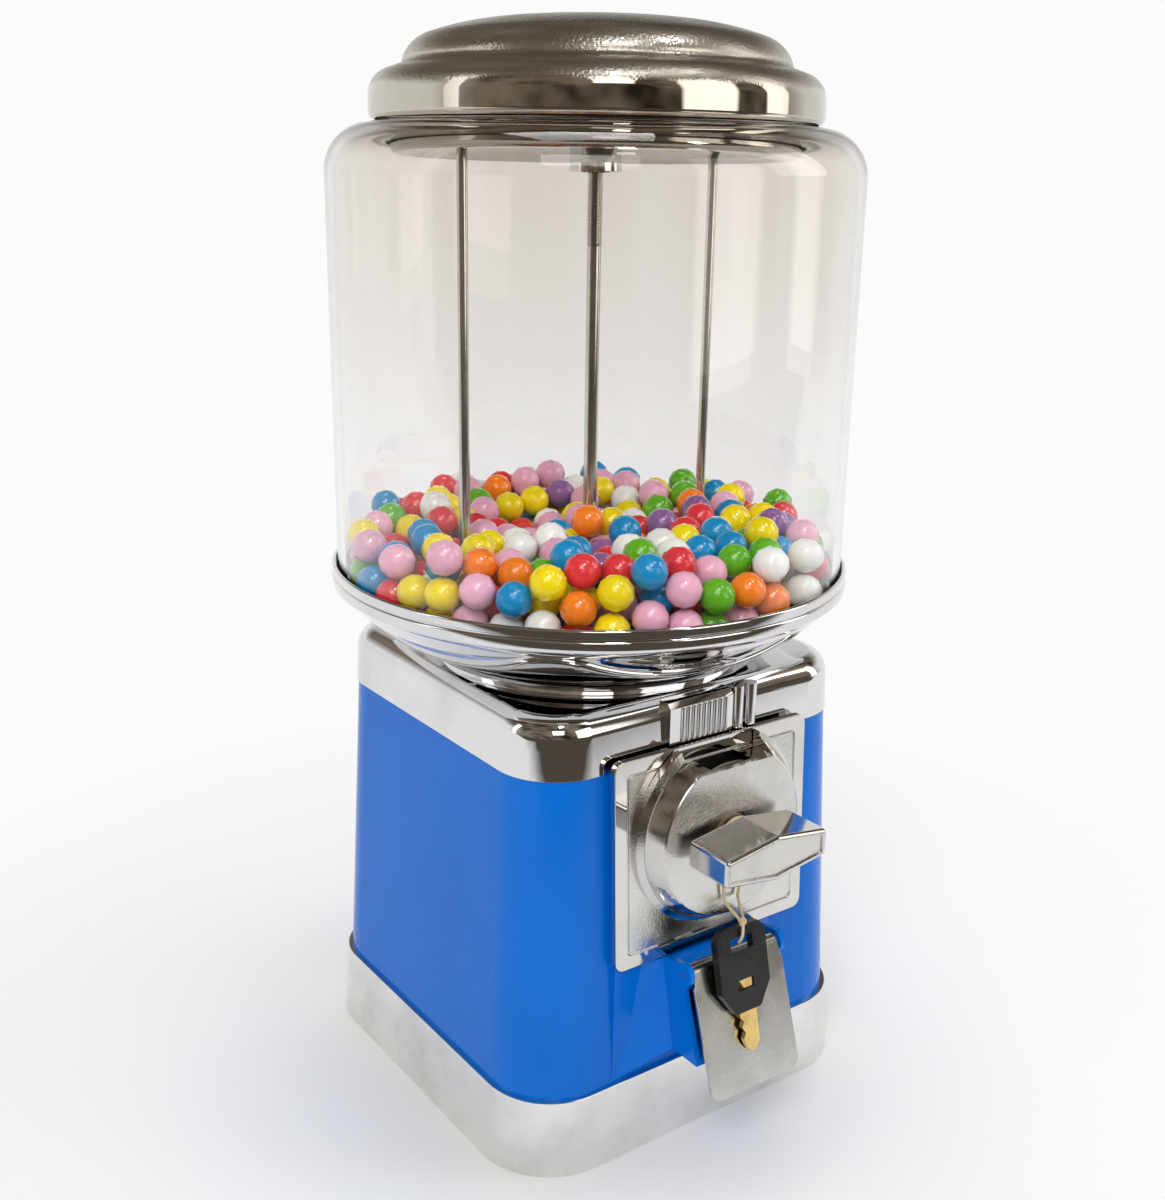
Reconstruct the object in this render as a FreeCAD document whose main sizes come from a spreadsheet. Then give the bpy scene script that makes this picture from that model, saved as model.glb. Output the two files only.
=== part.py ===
import FreeCAD, Part
import math
import os
import random
import Sketcher

# Gumball machine, millimetres, +Z up. The origin is the centre of the underside, and the coin
# mechanism and the door face -Y.

DOC = FreeCAD.newDocument("gumball_machine")
SHEET = DOC.addObject("Spreadsheet::Sheet", "Sizes")
Vector = FreeCAD.Vector
NODES = {}

# Driving dimensions: alias, value, what it measures
DRIVING = [
    ("foot_height", 31.4, "height of the polished foot"),
    ("foot_base_half", 86.7, "half width of the foot on the table"),
    ("foot_top_half", 84.2, "half width of the foot at its top"),
    ("foot_base_corner", 32, "corner radius of the foot on the table"),
    ("foot_top_corner", 28.4, "corner radius of the foot at its top"),
    ("foot_wall", 5, "wall of the foot"),
    ("plate_gap", 0.3, "gap between the bottom plate and the foot"),
    ("bottom_plate_thickness", 3, "sheet of the bottom plate"),
    ("post_radius", 8, "screw posts in the corners of the foot"),
    ("post_inset", 16.7, "distance of the screw posts from the foot's outer faces"),
    ("base_screw_radius", 2, "shank of the screws under the foot"),
    ("base_screw_length", 14, "length of the screws under the foot"),
    ("screw_clearance", 0.1, "radial room round a screw"),
    ("body_over_shaft", 29.2, "height of the body's top above the mechanism's shaft"),
    ("body_base_half", 82.4, "half width of the body at its foot"),
    ("body_top_half", 76.8, "half width of the body at its top"),
    ("body_base_corner", 27, "corner radius of the body at its foot"),
    ("body_top_corner", 24, "corner radius of the body at its top"),
    ("body_wall", 2.2, "wall of the body"),
    ("pad_half", 45, "half width of the raised pad behind the coin plate"),
    ("pad_rise", 2.6, "how far the pad stands proud of the body"),
    ("window_half", 26, "half width of the mechanism window in the body"),
    ("window_height", 46, "height of the mechanism window in the body"),
    ("collar_rise", 18.3, "height of the dish's seat in the collar"),
    ("collar_lip", 0.7, "how far the collar overhangs the body"),
    ("collar_draft", 0.8, "how far the collar leans in towards its top"),
    ("collar_wall", 3, "wall of the collar"),
    ("collar_round", 8, "rounding of the collar's top edge"),
    ("rim_rise", 4.5, "height of the collar's rim above the dish's seat"),
    ("recess_gap", 0.6, "room between the dish's foot and the collar's recess"),
    ("recess_flare", 1.4, "how far the recess widens towards the rim"),
    ("block_left", 19.9, "left reach of the ribbed block on the collar"),
    ("block_right", 10.6, "right reach of the ribbed block on the collar"),
    ("block_proud", 2.2, "how far the ribbed block stands out of the collar"),
    ("block_gap", 0.5, "gap between the coin plate and the ribbed block"),
    ("block_drop", 1.2, "how far the block's top lies below the collar's rim"),
    ("rib_radius", 0.9, "radius of the small ribs on the block"),
    ("rib_pitch", 2.6, "spacing of the small ribs"),
    ("bead_radius", 2.6, "radius of the two tall beads beside the block"),
    ("bead_pitch", 6.4, "spacing of the two tall beads"),
    ("housing_radius", 55, "outer radius of the wheel housing"),
    ("housing_wall", 3, "wall of the wheel housing"),
    ("housing_floor", 2.5, "floor under the crown teeth"),
    ("flange_radius", 62, "outer radius of the housing's flange"),
    ("flange_thickness", 3, "thickness of the housing's flange"),
    ("collar_bore_gap", 2, "room between the flange and the collar's opening"),
    ("dish_foot_radius", 68.5, "outer radius of the dish where it stands on the collar"),
    ("dish_neck_radius", 66, "outer radius of the dish just above its foot"),
    ("dish_neck_rise", 4, "height of that narrowest place above the dish's foot"),
    ("dish_wall", 3.2, "wall of the dish"),
    ("bowl_inset", 3, "how far the bowl's edge lies inside the ring"),
    ("dish_bowl_rise", 31, "height of the bowl's top above the dish's foot"),
    ("bowl_bulge", 60, "radius of the bowl's outside in profile"),
    ("ring_over", 2.5, "how far the ring stands out of the globe"),
    ("ring_height", 9.5, "height of the ring"),
    ("ring_round", 2.4, "rounding of the ring's edges"),
    ("ring_lip", 1.6, "wall of the ring beside the globe"),
    ("globe_radius", 101.5, "outer radius of the globe"),
    ("globe_wall", 3, "wall of the globe"),
    ("globe_height", 174, "height of the globe"),
    ("globe_shoulder", 19.5, "radius of the globe's shoulder"),
    ("globe_neck_height", 21.8, "height from the shoulder's start to the globe's rim"),
    ("gasket_thickness", 1.6, "height of the gasket under the globe"),
    ("gasket_seat", 3.4, "width of the gasket"),
    ("lid_gap", 0.2, "gap between the globe's rim and the lid's gasket"),
    ("lid_gasket_thickness", 1.2, "height of the gasket under the lid"),
    ("lid_overhang", 2.9, "how far the lid's rim stands out of the globe's neck"),
    ("lid_skirt", 4.6, "how far the lid's rim hangs below its seat"),
    ("lid_wall", 2.2, "wall of the lid"),
    ("lid_rim_height", 8, "height of the lid's straight rim"),
    ("lid_step_in", 12.9, "how far the dome's start lies inside the lid's rim"),
    ("lid_step_rise", 20, "height of the dome's start above the rim's lower edge"),
    ("lid_dome_rise", 14.8, "height of the dome"),
    ("lid_turn_in", 7.5, "width of the dome's rounded side"),
    ("lid_turn_rise", 9.2, "height of the dome's rounded side"),
    ("lid_turn_radius", 14, "radius of the dome's rounded side in profile"),
    ("lid_shoulder_in", 5.9, "width of the rounding above the lid's rim"),
    ("lid_shoulder_rise", 9, "height of the rounding above the lid's rim"),
    ("lid_shoulder_radius", 10, "radius of the rounding above the lid's rim"),
    ("lid_crown_radius", 24, "radius of the flat on the lid's crown"),
    ("lid_dome_bulge", 100, "radius of the dome's crown in profile"),
    ("tray_gap", 1.5, "gap between the pressed tray and the globe's neck"),
    ("tray_drop", 13.8, "depth of the tray's rim below the lid's seat"),
    ("tray_lip", 6, "width of the tray's flat rim"),
    ("tray_dome", 9, "how far the tray's middle rises above its rim"),
    ("tray_bulge", 200, "radius of the tray's hollow in profile"),
    ("tray_sheet", 1.6, "sheet of the tray"),
    ("sleeve_radius", 10, "radius of the threaded sleeve under the lid"),
    ("sleeve_drop", 7.4, "how far the sleeve reaches below the tray's rim"),
    ("rod_radius", 2.75, "radius of the centre rod"),
    ("thread_radius", 3.175, "outer radius of the rod's thread"),
    ("thread_pitch", 1.27, "pitch of the rod's thread"),
    ("thread_depth", 0.7, "depth of the rod's thread"),
    ("thread_show", 27.5, "length of thread that shows below the sleeve"),
    ("thread_engage", 15, "length of thread inside the sleeve"),
    ("thread_clearance", 0.25, "radial room round the thread"),
    ("side_rod_radius", 2, "radius of the two side rods"),
    ("side_rod_place", 58.65, "place of the side rods along X"),
    ("side_rod_over", 6, "how far the side rods stand above the tray's floor"),
    ("side_rod_clearance", 0.4, "radial room round a side rod in the tray"),
    ("nut_height", 3.2, "height of the side rods' nuts"),
    ("nut_radius", 3.4, "corner radius of the side rods' nuts"),
    ("base_nut_radius", 8, "corner radius of the nut at the rod's foot"),
    ("base_nut_height", 8, "height of the nut at the rod's foot"),
    ("running_fit", 0.05, "radial room of a turning shaft"),
    ("mesh_gap", 0.3, "room between the wheel and the housing's land"),
    ("shaft_height", 129.8, "height of the mechanism's shaft"),
    ("shaft_radius", 4, "radius of the mechanism's shaft"),
    ("gear_module", 3, "module of the pinion and the crown teeth"),
    ("pinion_teeth", 10, "teeth on the pinion"),
    ("crown_teeth", 30, "teeth under the dispensing wheel"),
    ("gear_addendum", 2.1, "height of a tooth above its pitch line"),
    ("gear_dedendum", 2.7, "depth of a tooth below its pitch line"),
    ("crown_face", 6, "radial width of the crown teeth"),
    ("pinion_face", 5, "width of the pinion"),
    ("wheel_thickness", 15, "thickness of the dispensing wheel"),
    ("wheel_gap", 2, "room between the wheel and the housing"),
    ("pocket_radius", 8.6, "radius of a ball pocket"),
    ("pocket_circle", 27.5, "radius of the circle of pockets"),
    ("pocket_count", 6, "number of ball pockets"),
    ("drop_angle", -35, "direction of the drop hole, degrees from +X"),
    ("drop_radius", 9, "radius of the drop hole"),
    ("coin_plate_half", 46.9, "half width of the coin plate"),
    ("coin_plate_height", 83, "height of the coin plate"),
    ("coin_plate_over", 5.1, "how far the coin plate reaches above the body"),
    ("coin_plate_thickness", 3, "thickness of the coin plate"),
    ("coin_plate_corner", 4, "corner radius of the coin plate"),
    ("groove_inset", 5.5, "distance of the plate's groove from its edge"),
    ("groove_width", 0.8, "width of the plate's groove"),
    ("groove_depth", 0.6, "depth of the plate's groove"),
    ("drum_radius", 39, "radius of the drum at the coin plate"),
    ("drum_step_radius", 36.6, "radius of the drum's cone where it starts"),
    ("drum_face_radius", 32.4, "radius of the drum's face"),
    ("drum_step_depth", 3.2, "height of the drum's first step"),
    ("drum_face_y", 95, "distance of the drum's face in front of the axis"),
    ("drum_front", 3, "thickness of the drum's face"),
    ("drum_cavity", 29, "radius of the space inside the drum"),
    ("shelf_height", 27.2, "height of the coin shelf above the shaft"),
    ("shelf_half", 19, "half width of the coin shelf"),
    ("coin_slot_half", 12.5, "half length of the coin slot"),
    ("coin_slot_width", 2.8, "width of the coin slot"),
    ("coin_drop_half", 14, "half width of the coin drop window"),
    ("coin_drop_height", 8, "height of the coin drop window"),
    ("carrier_radius", 27.5, "radius of the coin carrier"),
    ("carrier_thickness", 4, "thickness of the coin carrier"),
    ("coin_radius", 12.1, "radius of the coin that the carrier takes"),
    ("handle_half", 24.5, "half length of the handle"),
    ("handle_mid_half", 8.8, "half height of the handle in the middle"),
    ("handle_end_half", 5.2, "half height of the handle at its ends"),
    ("handle_depth", 21.6, "depth of the handle from front to back"),
    ("handle_front_y", 119.6, "distance of the handle's front from the axis"),
    ("handle_round", 1.6, "rounding of the handle's edges"),
    ("panel_inset", 2.2, "border of the handle's front panel"),
    ("panel_depth", 0.8, "depth of the handle's front panel"),
    ("hub_radius", 6, "radius of the handle's stem"),
    ("hub_gap", 0.4, "gap between the stem and the drum's face"),
    ("bush_radius", 7, "outer radius of the shaft's bush"),
    ("frame_half", 24, "half width of the mechanism's rear plate"),
    ("frame_height", 42, "height of the mechanism's rear plate"),
    ("frame_sheet", 2, "sheet of the mechanism's rear plate"),
    ("frame_y", 64, "distance of the rear plate's front from the axis"),
    ("standoff_radius", 3, "radius of the spacers behind the coin plate"),
    ("standoff_place", 20, "place of the spacers along X and Z"),
    ("ratchet_radius", 14, "tip radius of the ratchet"),
    ("ratchet_teeth", 12, "teeth on the ratchet"),
    ("ratchet_depth", 2.4, "depth of a ratchet tooth"),
    ("ratchet_thickness", 4, "thickness of the ratchet"),
    ("pawl_gap", 0.4, "room between the ratchet's tips and the pawl's toe"),
    ("pawl_pin_radius", 1.8, "radius of the pawl's pin"),
    ("pawl_hub_radius", 4, "radius of the pawl round its pin"),
    ("pawl_pin_x", 18, "place of the pawl's pin along X"),
    ("pawl_pin_rise", 9, "height of the pawl's pin above the shaft"),
    ("shaft_nut_radius", 6.5, "corner radius of the nut at the shaft's end"),
    ("shaft_nut_height", 3, "height of the nut at the shaft's end"),
    ("spout_half", 24, "half width of the spout"),
    ("spout_wall", 2.2, "wall of the spout"),
    ("flare_reach", 21, "width of the flare beside the spout"),
    ("flare_low_rise", 11, "depth of the flare at the spout's floor"),
    ("flare_top_rise", 5, "depth of the flare under the coin plate"),
    ("spout_floor_height", 44.7, "height of the spout's underside"),
    ("door_pin_y", 97.3, "distance of the door's pin from the axis"),
    ("door_pin_height", 79, "height of the door's pin"),
    ("door_pin_radius", 1.5, "radius of the door's pin"),
    ("door_knuckle_radius", 3.2, "radius of the door's curled knuckle"),
    ("knuckle_room", 0.8, "room behind the door's knuckle"),
    ("door_lean", 18, "lean of the closed door, degrees"),
    ("door_length", 50, "length of the door below its pin"),
    ("door_half", 22.3, "half width of the door"),
    ("door_sheet", 1.2, "sheet of the door"),
    ("door_corner", 5, "corner radius of the door"),
    ("door_gap", 0.5, "gap between the door and the spout"),
    ("ear_radius", 4.6, "radius of the spout's ears round the door's pin"),
    ("chute_half", 13, "half width of the chute"),
    ("chute_sheet", 1.5, "sheet of the chute"),
    ("chute_bend_height", 87, "height of the bend in the chute"),
    ("chute_mouth_height", 51, "height of the chute's floor at its mouth"),
    ("chute_side", 20, "height of the chute's side walls"),
    ("brush_half", 13, "half width of the brush cover"),
    ("brush_rise", 9, "height of the brush cover"),
    ("brush_gap", 0.5, "gap between the wheel and the brush cover"),
    ("bristle_length", 6, "length of the brush"),
    ("lock_radius", 9.4, "radius of the lock's body"),
    ("lock_plug_radius", 6, "radius of the lock's plug"),
    ("lock_proud", 0.8, "how far the lock stands above the lid"),
    ("lock_depth", 20, "length of the lock's plug"),
    ("key_tilt", 13.5, "lean of the hanging key, degrees"),
    ("key_pivot_y", 103, "distance of the key's hole in front of the axis"),
    ("key_pivot_height", 88.5, "height of the key's hole"),
    ("key_pivot_x", 1.9, "distance of the key's hole left of the middle"),
    ("key_head_width", 24, "width of the key's head"),
    ("key_head_length", 33, "length of the key's head"),
    ("key_head_thickness", 3.6, "thickness of the key's head"),
    ("key_head_over", 6.5, "how far the head reaches above the hole"),
    ("key_blade_width", 8.4, "width of the key's blade"),
    ("key_blade_length", 16, "length of the key's blade below the head"),
    ("key_blade_thickness", 2, "thickness of the key's blade"),
    ("key_tang", 15, "how far the blade reaches into the key's head"),
    ("key_window_low", 8.5, "height of the window in the head above the head's foot"),
    ("key_window_height", 4, "height of the window in the head"),
    ("key_hole_half", 5.5, "half width of the slot in the key's head"),
    ("key_hole_height", 5, "height of the slot in the key's head"),
    ("band_radius", 0.6, "radius of the band's strand"),
    ("band_gap", 0.45, "room between the band and the handle's stem"),
    ("knot_radius", 1.7, "radius of the band's knot"),
    ("ball_radius", 6.8, "radius of a gumball"),
    ("ball_gap", 0.35, "least room between two gumballs"),
    ("pile_height", 21, "height of the pile's top above the gasket"),
    ("pile_lift", 3, "how much higher the pile is poured at the glass than half way in"),
]


class Size:
    """A number from the sheet, with the expression that binds a property to it."""

    def __init__(self, value, text):
        self.value = float(value)
        self.text = text

    def join(self, other, sign, value, swap=False):
        other_text = other.text if isinstance(other, Size) else repr(float(other))
        first, second = (other_text, self.text) if swap else (self.text, other_text)
        return Size(value, "(%s %s %s)" % (first, sign, second))

    def __add__(self, other):
        return self.join(other, "+", self.value + float(other))

    def __radd__(self, other):
        return self.join(other, "+", float(other) + self.value, True)

    def __sub__(self, other):
        return self.join(other, "-", self.value - float(other))

    def __rsub__(self, other):
        return self.join(other, "-", float(other) - self.value, True)

    def __mul__(self, other):
        return self.join(other, "*", self.value * float(other))

    def __rmul__(self, other):
        return self.join(other, "*", float(other) * self.value, True)

    def __truediv__(self, other):
        return self.join(other, "/", self.value / float(other))

    def __neg__(self):
        return self.join(-1.0, "*", -self.value)

    def __float__(self):
        return self.value

    def __int__(self):
        return int(round(self.value))


class Sheet:
    """The sheet's cells, each a Size under its alias."""


S = Sheet()
for row, (alias, number, note) in enumerate(DRIVING, start=1):
    SHEET.set("A%d" % row, alias)
    SHEET.set("B%d" % row, str(number))
    SHEET.setAlias("B%d" % row, alias)
    SHEET.set("C%d" % row, note)
    setattr(S, alias, Size(number, "Sizes." + alias))
DOC.recompute()


# Helpers

def bind(obj, prop, size):
    """Tie one property to the sheet, or set it where it is a plain number."""
    if isinstance(size, Size):
        obj.setExpression(prop, size.text)
    else:
        obj.setExpression(prop, repr(float(size)))


def put(obj, base, axis=None, angle=0.0):
    """Place an object with its base tied to the sheet and a fixed turn."""
    turn = FreeCAD.Rotation(Vector(*axis), angle) if axis else FreeCAD.Rotation()
    obj.Placement = FreeCAD.Placement(Vector(*[float(v) for v in base]), turn)
    for letter, value in zip("xyz", base):
        bind(obj, "Placement.Base." + letter, value)
    return obj


def box(name, low, span, axis=None, angle=0.0):
    obj = DOC.addObject("Part::Box", name)
    for prop, value in zip(("Length", "Width", "Height"), span):
        bind(obj, prop, value)
    return put(obj, low, axis, angle)


TURN = {"z": (None, 0.0), "y": ((1, 0, 0), -90.0), "-y": ((1, 0, 0), 90.0), "x": ((0, 1, 0), 90.0),
        "-z": ((1, 0, 0), 180.0)}


def cylinder(name, base, along, radius, height):
    obj = DOC.addObject("Part::Cylinder", name)
    bind(obj, "Radius", radius)
    bind(obj, "Height", height)
    return put(obj, base, *TURN[along])


def cone(name, base, along, low_radius, high_radius, height):
    obj = DOC.addObject("Part::Cone", name)
    bind(obj, "Radius1", low_radius)
    bind(obj, "Radius2", high_radius)
    bind(obj, "Height", height)
    return put(obj, base, *TURN[along])


def nut(name, base, along, corner, height):
    obj = DOC.addObject("Part::Prism", name)
    obj.Polygon = 6
    bind(obj, "Circumradius", corner)
    bind(obj, "Height", height)
    return put(obj, base, *TURN[along])


def fuse(name, shapes):
    obj = DOC.addObject("Part::MultiFuse", name)
    obj.Shapes = shapes
    return obj


def cut(name, base, tools):
    obj = DOC.addObject("Part::Cut", name)
    obj.Base = base
    obj.Tool = tools[0] if len(tools) == 1 else fuse(name + "_tools", tools)
    return obj


def common(name, shapes):
    obj = DOC.addObject("Part::MultiCommon", name)
    obj.Shapes = shapes
    return obj


def group(name, shapes):
    obj = DOC.addObject("Part::Compound", name)
    obj.Links = shapes
    return obj


def feature(name, shape, base=(0.0, 0.0, 0.0)):
    obj = DOC.addObject("Part::Feature", name)
    obj.Shape = shape
    obj.Placement = FreeCAD.Placement(Vector(*[float(v) for v in base]), FreeCAD.Rotation())
    return obj


def node(name, obj):
    """Name a finished sub-part."""
    obj.Label = name
    NODES[name] = obj
    return obj


def arc_centre(start, end, radius, left):
    """Centre of the short arc from start to end that bulges to the given side."""
    middle = ((start[0] + end[0]) / 2, (start[1] + end[1]) / 2)
    run = (end[0] - start[0], end[1] - start[1])
    half = math.hypot(*run) / 2
    rise = math.sqrt(max(radius * radius - half * half, 0.0)) / (2 * half)
    side = 1 if left else -1
    return middle[0] - side * run[1] * rise, middle[1] + side * run[0] * rise


def outline(sketch, points):
    """Closed outline of lines and arcs. A point is (x, y), or (x, y, radius, left) where the run that
    starts there is an arc whose centre lies on its left or right side."""
    spots = [(float(p[0]), float(p[1])) for p in points]
    count = len(points)
    ends = []
    for i, point in enumerate(points):
        start, end = spots[i], spots[(i + 1) % count]
        if len(point) == 2:
            sketch.addGeometry(Part.LineSegment(Vector(*start, 0), Vector(*end, 0)))
            ends.append((1, 2))
            continue
        radius, left = float(point[2]), point[3]
        centre = arc_centre(start, end, radius, left)
        angles = [math.atan2(p[1] - centre[1], p[0] - centre[0]) for p in (start, end)]
        first, last = angles if left else reversed(angles)
        circle = Part.Circle(Vector(*centre, 0), Vector(0, 0, 1), radius)
        sketch.addGeometry(Part.ArcOfCircle(circle, first, last))
        ends.append((1, 2) if left else (2, 1))
    for i in range(count):
        after = (i + 1) % count
        sketch.addConstraint(Sketcher.Constraint("Coincident", i, ends[i][1], after, ends[after][0]))
    for i, point in enumerate(points):
        for kind, axis, size in (("DistanceX", -2, point[0]), ("DistanceY", -1, point[1])):
            if not isinstance(size, Size) and float(size) == 0.0:
                sketch.addConstraint(Sketcher.Constraint("PointOnObject", i, ends[i][0], axis))
                continue
            number = sketch.addConstraint(Sketcher.Constraint(kind, -1, 1, i, ends[i][0], float(size)))
            bind(sketch, "Constraints[%d]" % number, size)
        if len(point) > 2:
            number = sketch.addConstraint(Sketcher.Constraint("Radius", i, float(point[2])))
            bind(sketch, "Constraints[%d]" % number, point[2])


def sketch_in(body, name, role, points):
    plane = [f for f in body.Origin.OriginFeatures if f.Role == role][0]
    sketch = body.newObject("Sketcher::SketchObject", name)
    sketch.AttachmentSupport = [(plane, "")]
    sketch.MapMode = "FlatFace"
    outline(sketch, points)
    return sketch


def turned(name, points, base=(0.0, 0.0, 0.0), axis=None, angle=0.0):
    """A turned piece: an outline of radius and height, spun about its own Z axis."""
    body = DOC.addObject("PartDesign::Body", name)
    sketch = sketch_in(body, name + "_outline", "XZ_Plane", points)
    spin = body.newObject("PartDesign::Revolution", name + "_spin")
    spin.Profile = sketch
    spin.ReferenceAxis = (sketch, ["V_Axis"])
    spin.Angle = 360
    return put(body, base, axis, angle)


PLANES = {"xz": "XZ_Plane", "xy": "XY_Plane", "yz": "YZ_Plane"}


def padded(name, plane, points, length, base=(0.0, 0.0, 0.0), axis=None, angle=0.0, middle=False):
    """A pad of an outline drawn on one of the main planes."""
    body = DOC.addObject("PartDesign::Body", name)
    pad_sketch = sketch_in(body, name + "_outline", PLANES[plane], points)
    pad = body.newObject("PartDesign::Pad", name + "_pad")
    pad.Profile = pad_sketch
    bind(pad, "Length", length)
    pad.Midplane = middle
    return put(body, base, axis, angle)


def round_square(name, half, corner, height):
    """A rounded square outline that lies level at a height."""
    sketch = DOC.addObject("Sketcher::SketchObject", name)
    flat = half - corner
    outline(sketch, [(half, -flat), (half, flat, corner, True), (flat, half), (-flat, half, corner, True),
                     (-half, flat), (-half, -flat, corner, True), (-flat, -half), (flat, -half, corner,
                                                                                   True)])
    return put(sketch, (0.0, 0.0, height))


def square_loft(name, levels):
    """A solid through rounded squares, each given as half width, corner radius and height."""
    loft = DOC.addObject("Part::Loft", name)
    loft.Sections = [round_square("%s_level_%d" % (name, i), *level) for i, level in enumerate(levels)]
    loft.Solid = True
    loft.Ruled = True
    return loft


def corners(place):
    return [(sx * place, sy * place) for sx in (-1.0, 1.0) for sy in (-1.0, 1.0)]


# Heights that the pieces share
BODY_TOP = S.shaft_height + S.body_over_shaft
BODY_HEIGHT = BODY_TOP - S.foot_height
COLLAR_TOP = BODY_TOP + S.collar_rise
RIM_TOP = COLLAR_TOP + S.rim_rise
LEAN = (S.body_base_half - S.body_top_half) / BODY_HEIGHT
LEAN_ANGLE = math.degrees(math.atan(float(LEAN)))
GASKET_FOOT = COLLAR_TOP + S.dish_bowl_rise + S.ring_height - 6.0
GLOBE_FOOT = GASKET_FOOT + S.gasket_thickness
GLOBE_TOP = GLOBE_FOOT + S.globe_height
LID_SEAT = GLOBE_TOP + S.lid_gap + S.lid_gasket_thickness
NECK_RADIUS = S.globe_radius - S.globe_shoulder
RING_RADIUS = S.globe_radius + S.ring_over
BOWL_RADIUS = RING_RADIUS - S.bowl_inset
LID_RIM = NECK_RADIUS + S.lid_overhang
LID_STEP = LID_RIM - S.lid_step_in
TRAY_RADIUS = NECK_RADIUS - S.globe_wall - S.tray_gap
POST_PLACE = S.foot_base_half - S.post_inset
PINION_PITCH = S.gear_module * S.pinion_teeth / 2.0
CROWN_PITCH = S.gear_module * S.crown_teeth / 2.0
PITCH_HEIGHT = S.shaft_height + PINION_PITCH
TOOTH_TIP = PITCH_HEIGHT - S.gear_addendum
WHEEL_FOOT = PITCH_HEIGHT + S.gear_dedendum
WHEEL_TOP = WHEEL_FOOT + S.wheel_thickness
LAND_TOP = WHEEL_FOOT - S.mesh_gap
CHANNEL = TOOTH_TIP - 0.8
HOUSING_FOOT = CHANNEL - S.housing_floor
HOUSING_INNER = S.housing_radius - S.housing_wall
LAND_RADIUS = CROWN_PITCH - S.crown_face / 2.0 - 1.2
TRAY_FLOOR = LID_SEAT - S.tray_drop
SLEEVE_FOOT = TRAY_FLOOR - S.sleeve_drop
THREAD_FOOT = SLEEVE_FOOT - S.thread_show
ROD_TOP = SLEEVE_FOOT + S.thread_engage
DROP = [float(S.pocket_circle) * f(math.radians(float(S.drop_angle))) for f in (math.cos, math.sin)]


def face_y(height):
    """Front of the body's wall at a height, as a distance in front of the axis."""
    return S.body_base_half - (height - S.foot_height) * LEAN


# Foot, bottom plate and their screws

def make_foot():
    outer = square_loft("foot_outer", [(S.foot_base_half, S.foot_base_corner, 0.0),
                                       (S.foot_top_half, S.foot_top_corner, S.foot_height)])
    inner = square_loft("foot_inner", [
        (S.foot_base_half - S.foot_wall, S.foot_base_corner - S.foot_wall, 0.0),
        (S.foot_top_half - S.foot_wall, S.foot_top_corner - S.foot_wall, S.foot_height)])
    shell = cut("foot_shell", outer, [inner])
    posts, holes = [], []
    post_height = S.foot_height - S.bottom_plate_thickness - 2.0
    for i, (x, y) in enumerate(corners(POST_PLACE)):
        posts.append(cylinder("foot_post_%d" % i, (x, y, S.bottom_plate_thickness), "z", S.post_radius,
                              post_height))
        holes.append(cylinder("foot_hole_%d" % i, (x, y, S.bottom_plate_thickness), "z",
                              S.base_screw_radius + S.screw_clearance, S.base_screw_length))
    inside = square_loft("foot_fill", [(S.foot_base_half - 1.0, S.foot_base_corner - 1.0, 0.0),
                                       (S.foot_top_half - 1.0, S.foot_top_corner - 1.0, S.foot_height)])
    kept = common("foot_posts", [fuse("foot_post_set", posts), inside])
    node("foot", cut("foot_drilled", fuse("foot_joined", [shell, kept]), holes))


def make_bottom_plate():
    half = S.foot_base_half - S.foot_wall - S.plate_gap * 2.0
    corner = S.foot_base_corner - S.foot_wall
    plate = square_loft("bottom_sheet", [(half, corner, 0.0), (half, corner, S.bottom_plate_thickness)])
    holes, screws = [], []
    head = S.base_screw_radius * 2.0
    sink = S.base_screw_radius
    for i, (x, y) in enumerate(corners(POST_PLACE)):
        holes.append(cylinder("bottom_hole_%d" % i, (x, y, 0.0), "z",
                              S.base_screw_radius + S.screw_clearance,
                              S.bottom_plate_thickness))
        holes.append(cone("bottom_sink_%d" % i, (x, y, 0.0), "z", head + S.screw_clearance,
                          S.base_screw_radius + S.screw_clearance, sink))
        shank = cylinder("base_shank_%d" % i, (x, y, 0.2), "z", S.base_screw_radius,
                         S.base_screw_length - 1.0)
        top = cone("base_head_%d" % i, (x, y, 0.2), "z", head - 0.2, S.base_screw_radius, sink - 0.2)
        screws.append(fuse("base_screw_%d" % i, [shank, top]))
    node("bottom_plate", cut("bottom_drilled", plate, holes))
    node("base_screws", group("base_screw_group", screws))


# Painted body with its pad, windows and spout

SPOUT_SLOPE = math.tan(math.radians(float(S.door_lean)))


def spout_front(height):
    """Front of the spout's side walls at a height, parallel to the closed door."""
    back = S.door_sheet / 2.0 + S.door_gap
    return S.door_pin_y - back / math.cos(math.radians(float(S.door_lean))) + \
        (S.door_pin_height - height) * SPOUT_SLOPE


def faceted(name, low, high):
    """A solid between two triangles, each listed in the same order seen from above."""
    corner = [Vector(*[float(v) for v in p]) for p in low + high]
    faces = [(0, 2, 1), (3, 4, 5)]
    for i in range(3):
        after = (i + 1) % 3
        faces += [(i, after, 3 + after), (i, 3 + after, 3 + i)]
    sides = [Part.Face(Part.makePolygon([corner[i] for i in face + face[:1]])) for face in faces]
    solid = Part.makeSolid(Part.makeShell(sides))
    if solid.Volume < 0:
        solid.reverse()
    return feature(name, solid)


def make_flares(top):
    """The sloping sides that run from the body's front out to the spout."""
    flares = []
    foot, floor = S.foot_height, S.spout_floor_height
    inside = S.body_wall / 2.0
    for i, sign in enumerate((-1.0, 1.0)):
        outer = (S.spout_half + S.flare_reach) * sign
        edge = S.spout_half * sign
        root = (S.spout_half - S.spout_wall) * sign
        low = [(outer, -face_y(foot) + inside, foot), (edge, -face_y(floor) - S.flare_low_rise, floor),
               (root, -face_y(floor) + inside, floor)]
        high = [(outer, -face_y(top) + inside, top), (edge, -face_y(top) - S.flare_top_rise, top),
                (root, -face_y(top) + inside, top)]
        flares.append(faceted("spout_flare_%d" % i, low, high))
    return flares


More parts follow.
